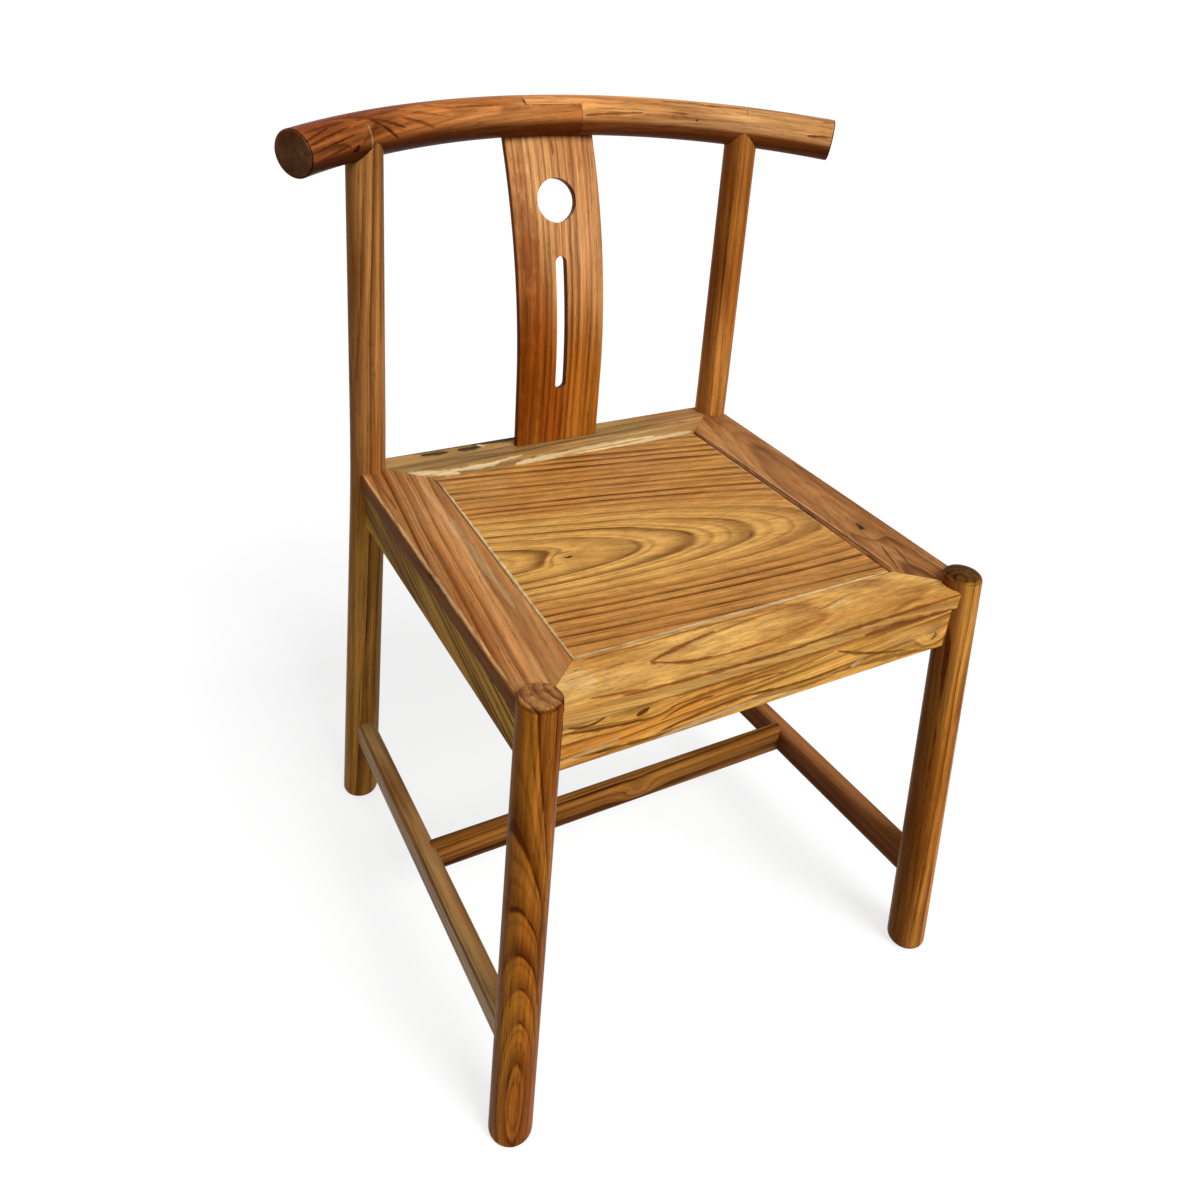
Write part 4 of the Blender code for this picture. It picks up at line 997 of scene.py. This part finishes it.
rail_woods = {
    "front": wood_material(
        "front_rail_wood", ((0.750, 0.430, 0.120), (0.620, 0.300, 0.068), (0.230, 0.062, 0.008)),
        (-0.1044, -0.186, 0.400), (1, 0.0, -0.10),
        dark_marks_and_shade=[
            *face_marks("Z", seat_height,
                (-0.155, -0.1625, -0.09, -0.1642, 0.0026, 0.8),
                (-0.11, -0.164, 0.03, -0.1662, 0.0026, 0.7, (0, 0.002)),
                (-0.1078, -0.1846, -0.1046, -0.1886, 0.006, 0.9, (-0.001, 0)),
                (-0.107, -0.1848, -0.04, -0.172, 0.0042, 0.9, (0, 0.001)),
                (-0.06, -0.176, 0.08, -0.166, 0.0026, 0.6, (0, 0.002)),
                (-0.1066, -0.1868, -0.06, -0.1992, 0.0042, 0.9, (0, -0.0035)),
                (-0.08, -0.1985, 0.07, -0.19, 0.0026, 0.7, (0, -0.006)),
                (-0.1455, -0.1797, -0.127, -0.1779, 0.0024, 0.6),
                (0.0493, -0.1843, 0.0919, -0.1748, 0.0022, 0.6),
                (0.0668, -0.1809, 0.1061, -0.1732, 0.0018, 0.6, (0, 0.001)),
                (0.1, -0.196, 0.19, -0.18, 0.003, 0.35, (0, 0.002))),
            ((-0.164, -0.159, 0.4472), (0.164, -0.159, 0.4472), 0.0022, 0.85),
            # Painted shade: this mark, the next and the first on the front face run along the
            # rounded top edge
            ((-0.1726, -0.2053, 0.4475), (-0.125, -0.2125, 0.4465), 0.003, 0.85),
            ((-0.148, -0.211, 0.446), (0.025, -0.2115, 0.4412), 0.0036, 0.9, (0, 0, -0.001)),
            *face_marks("Y", front_rail_face_place,
                (0, 0.4418, 0.205, 0.4455, 0.0034, 0.9, (0, 0.001)),
                # Painted shadow along the rail's foot over the apron: a dark wedge and a long line
                (0.09, 0.433, 0.195, 0.43, 0.009, 0.95),
                (-0.2, 0.429, 0.215, 0.429, 0.0042, 0.85))],
        pale_marks_and_highlights=face_marks("Z", seat_height,
            (-0.186, -0.178, -0.158, -0.19, 0.022, 0.26),
            (-0.15, -0.183, -0.125, -0.191, 0.016, 0.1),
            (0.07, -0.183, 0.098, -0.177, 0.003, 0.45)),
        seed=2.9, ring_width=0.0125, wander=0.012, lines=0.50, bands=0.20, fibre=0.7, gloss=0.3),
    "rear": wood_material(
        "rear_rail_wood", ((0.600, 0.370, 0.125), (0.420, 0.220, 0.066), (0.034, 0.017, 0.007)),
        (0.0, 0.130, 0.400), (1, 0.03, 0.02),
        dark_marks_and_shade=face_marks("Z", seat_height,
            (-0.148, 0.2025, -0.119, 0.201, 0.0075, 0.97),
            (-0.109, 0.201, -0.083, 0.201, 0.008, 0.97),
            (-0.083, 0.2075, -0.015, 0.2075, 0.012, 0.97),
            (-0.1, 0.211, -0.06, 0.206, 0.008, 0.95),
            (-0.185, 0.211, -0.06, 0.21, 0.007, 0.9),
            (-0.185, 0.185, -0.06, 0.179, 0.006, 0.6, (0, 0.002)),
            (-0.13, 0.176, 0, 0.172, 0.004, 0.5, (0, 0.002)),
            (0.04, 0.18, 0.16, 0.18, 0.006, 0.45)),
        pale_marks_and_highlights=face_marks("Z", seat_height,
            (-0.176, 0.17, -0.126, 0.154, 0.0095, 0.97, (0, 0.001)),
            (-0.134, 0.161, -0.08, 0.161, 0.008, 0.97, (0, -0.001)),
            (-0.096, 0.161, -0.05, 0.168, 0.0042, 0.95),
            (-0.065, 0.152, -0.006, 0.157, 0.008, 0.97, (0, 0.001)),
            (-0.02, 0.156, 0.05, 0.162, 0.006, 0.95),
            (0.02, 0.156, 0.105, 0.159, 0.005, 0.9, (0, 0.002)),
            (0.07, 0.154, 0.154, 0.1555, 0.0044, 0.85),
            (-0.085, 0.206, -0.078, 0.2, 0.004, 0.7),
            # Painted highlight: the last pale mark runs along the inner bevel
            (-0.01, 0.1523, 0.154, 0.1523, 0.0026, 0.85)),
        later=(((0.525, 0.270, 0.086), (0.375, 0.158, 0.045), (0.080, 0.022, 0.005)),
               (0.070, 0.1800, seat_height), (0.155, 0.1800, seat_height)),
        seed=7.7, ring_width=0.0100, wander=0.010, lines=0.6, bands=0.3, gloss=0.32),
    "left": wood_material(
        "left_rail_wood", ((0.600, 0.290, 0.104), (0.440, 0.165, 0.046), (0.140, 0.038, 0.004)),
        (-0.150, 0.0, 0.395), (0.11, 1, 0.01),
        dark_marks_and_shade=[
            *face_marks("Z", seat_height,
                (-0.209, 0.164, -0.2083, 0.108, 0.0028, 0.75, (0.001, 0)),
                (-0.199, 0.17, -0.204, 0.08, 0.0022, 0.7, (0.001, 0))),
            ((-0.154, 0.151, 0.447), (-0.1629, -0.159, 0.447), 0.0018, 0.85)],
        # Painted shade on the rail's outer side face
        dark_sides=(((-1, 0, 0), 0.55, 0.95, 0.8),), shine=0.004,
        pale_marks_and_highlights=[
            # Painted highlight: the first pale mark runs along the outer arris
            ((-0.215, 0.19, 0.447), (-0.219, -0.18, 0.447), 0.0022, 0.4),
            ((-0.17, 0.15, 0.4475), (-0.174, -0.08, 0.4475), 0.007, 0.22)],
        seed=5.1, ring_width=0.0085, wander=0.008, lines=0.8, bands=0.3, fibre=0.6, gloss=0.32),
    "right": wood_material(
        "right_rail_wood", ((0.480, 0.220, 0.070), (0.340, 0.130, 0.036), (0.090, 0.026, 0.006)),
        (0.1900, -0.05, 0.405), (0.05, 1, -0.07),
        knots=(((0.1905, -0.0858, seat_height), 0.012, 2.2, 1.4, 0.0030),),
        dark_marks_and_shade=face_marks("Z", seat_height,
            (0.1959, -0.1258, 0.1856, -0.1613, 0.0022, 0.8),
            (0.1848, -0.1213, 0.1716, -0.1583, 0.0022, 0.8),
            (0.1575, 0.11, 0.1655, -0.156, 0.0022, 0.9)),
        pale_marks_and_highlights=[((0.159, 0.15, 0.4475), (0.169, -0.156, 0.4475), 0.0016, 0.35)],
        seed=3.8, ring_width=0.0090, wander=0.008, lines=0.75, bands=0.3, fibre=0.7, gloss=0.32)}
for word, wood in rail_woods.items():
    finished_solid("seat_rail_" + word, "rail_" + word, "frame_wood", wood)

# Seat panel
# A loose board whose tongue slides in the rails, cut through the middle of the tree: long loops
# run from the left, with close straight lines at the front. Two dovetailed battens hold it flat.
panel_height = 0.4469
panel_edge_height = 0.4466
panel_wood = wood_material(
    "panel_wood", ((0.720, 0.385, 0.099), (0.560, 0.250, 0.060), (0.120, 0.028, 0.003)),
    (-0.0138, -0.030, 0.4040), (1, -0.12, -0.15),
    knots=(((-0.0975, -0.0261, panel_height), 0.010, 2.6, 0.7, 0.0017),),
    dark_marks_and_shade=face_marks("Z", panel_height,
        (-0.13, 0, -0.105, -0.01, 0.003, 0.5),
        (-0.105, -0.018, -0.088, -0.018, 0.002, 0.5),
        (0.075, -0.148, 0.156, -0.144, 0.024, 0.35)),
    # Painted highlights along the panel's chamfered edges
    pale_marks_and_highlights=face_marks("Z", panel_edge_height,
        (-0.1612, -0.16, -0.152, 0.153, 0.003, 0.95),
        (-0.164, -0.1576, 0.164, -0.1576, 0.0024, 0.8),
        (0.1612, -0.16, 0.152, 0.153, 0.0026, 0.7)),
    seed=1.2, ring_width=0.0102, wander=0.009, unevenness=0.8, lines=1.0, edges=0.3, bands=0.15,
    gloss=0.3, sapwood_start=0.085, sapwood_spread=-0.025, zone=0.75)
finished_solid("seat_panel", "panel_board", "panel_wood", panel_wood)
batten_wood = wood_material(
    "batten_wood", ((0.430, 0.250, 0.105), (0.350, 0.185, 0.070), (0.190, 0.085, 0.030)),
    (0.0, 0.0, 0.36), (0, 1, 0.01), seed=6.6, ring_width=0.005, wander=0.004, lines=0.5,
    bands=0.2, gloss=0.6)
for word in ("left", "right"):
    finished_solid("seat_batten_" + word, "batten_" + word, "inner_wood", batten_wood)

# Aprons
# Four boards under the rails, their shoulders scribed to the round legs.
# The front one is golden with long wavy lines, and the left one has dark slanting streaks.
apron_face_place = -0.2085
apron_woods = {
    "front": wood_material(
        "front_apron_wood", ((0.950, 0.490, 0.104), (0.760, 0.290, 0.044), (0.130, 0.026, 0.001)),
        (0.0, -0.165, 0.365), (1, 0.02, 0.09),
        knots=(((-0.1250, apron_face_place, 0.4220), 0.012, 3.0, 1.2, 0.0),
               ((0.1820, apron_face_place, 0.4050), 0.011, 1.6, 1.0, 0.0)),
        dark_marks_and_shade=face_marks("Y", apron_face_place,
            (-0.1926, 0.4292, -0.156, 0.43, 0.0034, 0.9, (0.004, -0.005)),
            (-0.1315, 0.4196, -0.1205, 0.4238, 0.0056, 0.98),
            (-0.1945, 0.4235, -0.124, 0.4134, 0.0036, 0.9, (0, -0.001)),
            (-0.13, 0.4134, -0.095, 0.4175, 0.003, 0.85, (0.004, -0.002)),
            (-0.1077, 0.4064, -0.06, 0.415, 0.003, 0.85, (-0.006, 0.003)),
            (-0.101, 0.4172, 0.01, 0.417, 0.0034, 0.8, (0, 0.003)),
            (-0.112, 0.394, -0.01, 0.4036, 0.0034, 0.85, (0, 0.003)),
            (-0.07, 0.413, 0.06, 0.4225, 0.0028, 0.7, (0, -0.003)),
            (-0.185, 0.3968, -0.096, 0.3915, 0.004, 0.85, (0, -0.001)),
            (-0.0331, 0.4054, 0.0701, 0.4007, 0.0032, 0.9, (0, -0.003)),
            (-0.02, 0.3975, 0.07, 0.395, 0.003, 0.7, (0, -0.002)),
            (0.0649, 0.4216, 0.1463, 0.3984, 0.0034, 0.85, (0, -0.003)),
            (0.0633, 0.3975, 0.185, 0.3885, 0.006, 0.75, (0, 0.003)),
            (0.1789, 0.409, 0.1787, 0.401, 0.0026, 0.95, (0.004, 0)),
            (0.1787, 0.4001, 0.1861, 0.4035, 0.0022, 0.9),
            # Painted shadow: a dark line along the top, under the rail
            (-0.1, 0.4275, 0.19, 0.4275, 0.0056, 0.6)),
        pale_marks_and_highlights=face_marks("Y", apron_face_place,
            (-0.11, 0.3894, -0.01, 0.395, 0.0036, 0.55, (0, 0.001)),
            (-0.196, 0.396, -0.145, 0.401, 0.005, 0.3),
            (-0.02, 0.3955, 0.03, 0.3915, 0.0026, 0.45),
            (0.0859, 0.3985, 0.098, 0.4035, 0.004, 0.6),
            (0.1209, 0.415, 0.19, 0.409, 0.012, 0.16)),
        seed=4.9, ring_width=0.0095, wander=0.014, lines=0.75, bands=0.25, fibre=0.8, gloss=0.3),
    "left": wood_material(
        "left_apron_wood", ((0.740, 0.380, 0.066), (0.300, 0.132, 0.018), (0.046, 0.014, 0.001)),
        (-0.245, 0.0, 0.345), (0.0, 1, 0.24), seed=8.8, ring_width=0.0080, wander=0.014,
        lines=0.95, bands=0.5, fibre=0.8, gloss=0.36, shine=0.004),
    "right": wood_material(
        "right_apron_wood", ((0.420, 0.190, 0.055), (0.310, 0.120, 0.030), (0.100, 0.030, 0.006)),
        (0.250, 0.0, 0.340), (0.0, 1, 0.10), seed=2.2, ring_width=0.0095, wander=0.010,
        lines=0.7, bands=0.35, gloss=0.36),
    "rear": wood_material(
        "rear_apron_wood", ((0.460, 0.220, 0.065), (0.340, 0.140, 0.034), (0.110, 0.034, 0.007)),
        (0.0, 0.240, 0.350), (1, 0.0, 0.06), seed=9.1, ring_width=0.0095, wander=0.010,
        lines=0.7, bands=0.35, gloss=0.36)}
for word, wood in apron_woods.items():
    finished_solid("apron_" + word, "apron_board_" + word, "apron_wood", wood)

# Stretchers
# One flat bar on each side with well rounded arrises, tenoned in the legs, and a cross one
# tenoned between their middles. Each is sawn from wood of its own colour.
stretcher_woods = {
    "side_stretcher_left": wood_material(
        "left_stretcher_wood",
        ((0.560, 0.320, 0.120), (0.330, 0.140, 0.036), (0.075, 0.022, 0.004)),
        (-0.250, 0.0, 0.075), (0.0, 1, 0.02), seed=1.9, ring_width=0.0080, wander=0.010,
        lines=0.8, bands=0.5, gloss=0.3),
    "side_stretcher_right": wood_material(
        "right_stretcher_wood",
        ((0.380, 0.150, 0.048), (0.270, 0.085, 0.022), (0.070, 0.018, 0.005)),
        (0.250, 0.0, 0.080), (0.0, 1, 0.02), seed=7.3, ring_width=0.0080, wander=0.008,
        lines=0.7, bands=0.45, gloss=0.32),
    "cross_stretcher": wood_material(
        "cross_stretcher_wood",
        ((0.490, 0.202, 0.038), (0.245, 0.074, 0.010), (0.036, 0.008, 0.001)),
        (0.0, -0.035, 0.075), (1, 0.0, 0.02),
        knots=(((0.02, -0.012, 0.105), 0.010, 2.0, 1.4, 0.0),),
        seed=5.8, ring_width=0.0090, wander=0.008, lines=0.9, bands=0.6, gloss=0.32)}
for node, wood in stretcher_woods.items():
    finished_solid(node, node + "_bar", "stretcher_wood", wood)

# Floor
# A plain pale studio floor that runs out of sight and keeps the chair's soft shadow.
# Its lift shows it as white to the camera and in gloss, and adds no light to the chair.
floor_reach = 30.0
floor_colour = 0.30
floor_mottle = 0.004
floor_mottle_scale = 9.0
floor_roughness = 0.9
floor_lift = 0.74


def seen_directly(tree):
    """One for rays from the camera and in gloss or glass, and nought for the light itself."""
    rays = add(tree, "ShaderNodeLightPath").outputs
    seen = maths("MAXIMUM", rays["Is Camera Ray"], rays["Is Glossy Ray"])
    return maths("MAXIMUM", seen, rays["Is Transmission Ray"])


floor_mesh = bpy.data.meshes.new("studio_floor")
floor_mesh.from_pydata([(x * floor_reach, y * floor_reach, 0)
                        for x, y in ((-1, -1), (1, -1), (1, 1), (-1, 1))], [], [(0, 1, 2, 3)])
floor = place_object("studio_floor", floor_mesh)
floor_paint = bpy.data.materials.new("floor_paint")
floor_paint.use_nodes = True
paint = floor_paint.node_tree
paint_shader = paint.nodes["Principled BSDF"]
mottle = noise(add(paint, "ShaderNodeTexCoord").outputs["Object"], [floor_mottle_scale] * 3)
mottle = ramp(mottle, 0.3, 0.7, floor_colour - floor_mottle, floor_colour + floor_mottle)
feed(paint, paint_shader.inputs["Base Color"],
     fed("CombineColor", {0: mottle, 1: mottle, 2: mottle}))
paint_shader.inputs["Roughness"].default_value = floor_roughness
paint_shader.inputs["Specular IOR Level"].default_value = 0.0
lift = fed("Emission", {"Strength": times(seen_directly(paint), floor_lift)})
both = fed("AddShader", {0: paint_shader.outputs[0], 1: lift})
feed(paint, paint.nodes["Material Output"].inputs["Surface"], both)
floor_mesh.materials.append(floor_paint)

# Light
# A soft sky that dims towards the horizon, one broad lamp high on the front right, and a weak
# one low behind the chair for its back.
sky_zenith = 0.50
sky_horizon = 0.08
sky_horizon_height = -0.05
sky_zenith_height = 0.9
sky_white = (1, 1, 1, 1)
key_strength = 2.75
key_direction = Vector((0.18, -0.75, 0.76))
key_breadth = math.radians(30)
fill_strength = 0.5
fill_direction = Vector((-0.30, 0.90, 0.28))
fill_breadth = math.radians(60)

world = bpy.data.worlds.new("studio")
bpy.context.scene.world = world
world.use_nodes = True
sky = world.node_tree
ambient = sky.nodes["Background"]
height = fed("SeparateXYZ", {0: add(sky, "ShaderNodeTexCoord").outputs["Generated"]}, 2)
feed(sky, ambient.inputs["Strength"],
     ramp(height, sky_horizon_height, sky_zenith_height, sky_horizon, sky_zenith))
ambient.inputs["Color"].default_value = sky_white
backdrop = add(sky, "ShaderNodeBackground", {"Strength": 1.0, "Color": sky_white})
shown = fed("MixShader", {0: seen_directly(sky), 1: ambient.outputs[0], 2: backdrop.outputs[0]})
feed(sky, sky.nodes["World Output"].inputs["Surface"], shown)
for name, strength, direction, breadth in (("key", key_strength, key_direction, key_breadth),
                                           ("fill", fill_strength, fill_direction, fill_breadth)):
    sun = bpy.data.lights.new(name, "SUN")
    sun.energy = strength
    sun.angle = breadth
    place_object(name, sun).rotation_euler = direction.to_track_quat("Z", "Y").to_euler()

# Camera
# It stands at the chair's front left, above the back's top, and looks down on the seat. It is
# held slightly askew, and its frame is shifted a little down.
camera_place = Vector((-0.4883, -0.7154, 0.9429))
camera_yaw = 0.5497
camera_pitch = 0.5409
camera_roll = 0.0868
camera_lens = 31.683
sensor_width = 36.0
camera_shift = -0.05
nearest_view = 0.02

view_line = Vector((math.sin(camera_yaw) * math.cos(camera_pitch),
                    math.cos(camera_yaw) * math.cos(camera_pitch), -math.sin(camera_pitch)))
level_right = view_line.cross(Vector((0, 0, 1))).normalized()
level_up = level_right.cross(view_line)
rightward = math.cos(camera_roll) * level_right + math.sin(camera_roll) * level_up
upward = -math.sin(camera_roll) * level_right + math.cos(camera_roll) * level_up
camera_data = bpy.data.cameras.new("camera")
camera_data.lens = camera_lens
camera_data.sensor_width = sensor_width
camera_data.shift_y = camera_shift
camera_data.clip_start = nearest_view
camera = place_object("camera", camera_data)
turn = Matrix((rightward, upward, -view_line)).transposed().to_4x4()
camera.matrix_world = Matrix.Translation(camera_place) @ turn
bpy.context.scene.camera = camera
bpy.context.scene.view_settings.view_transform = "Standard"
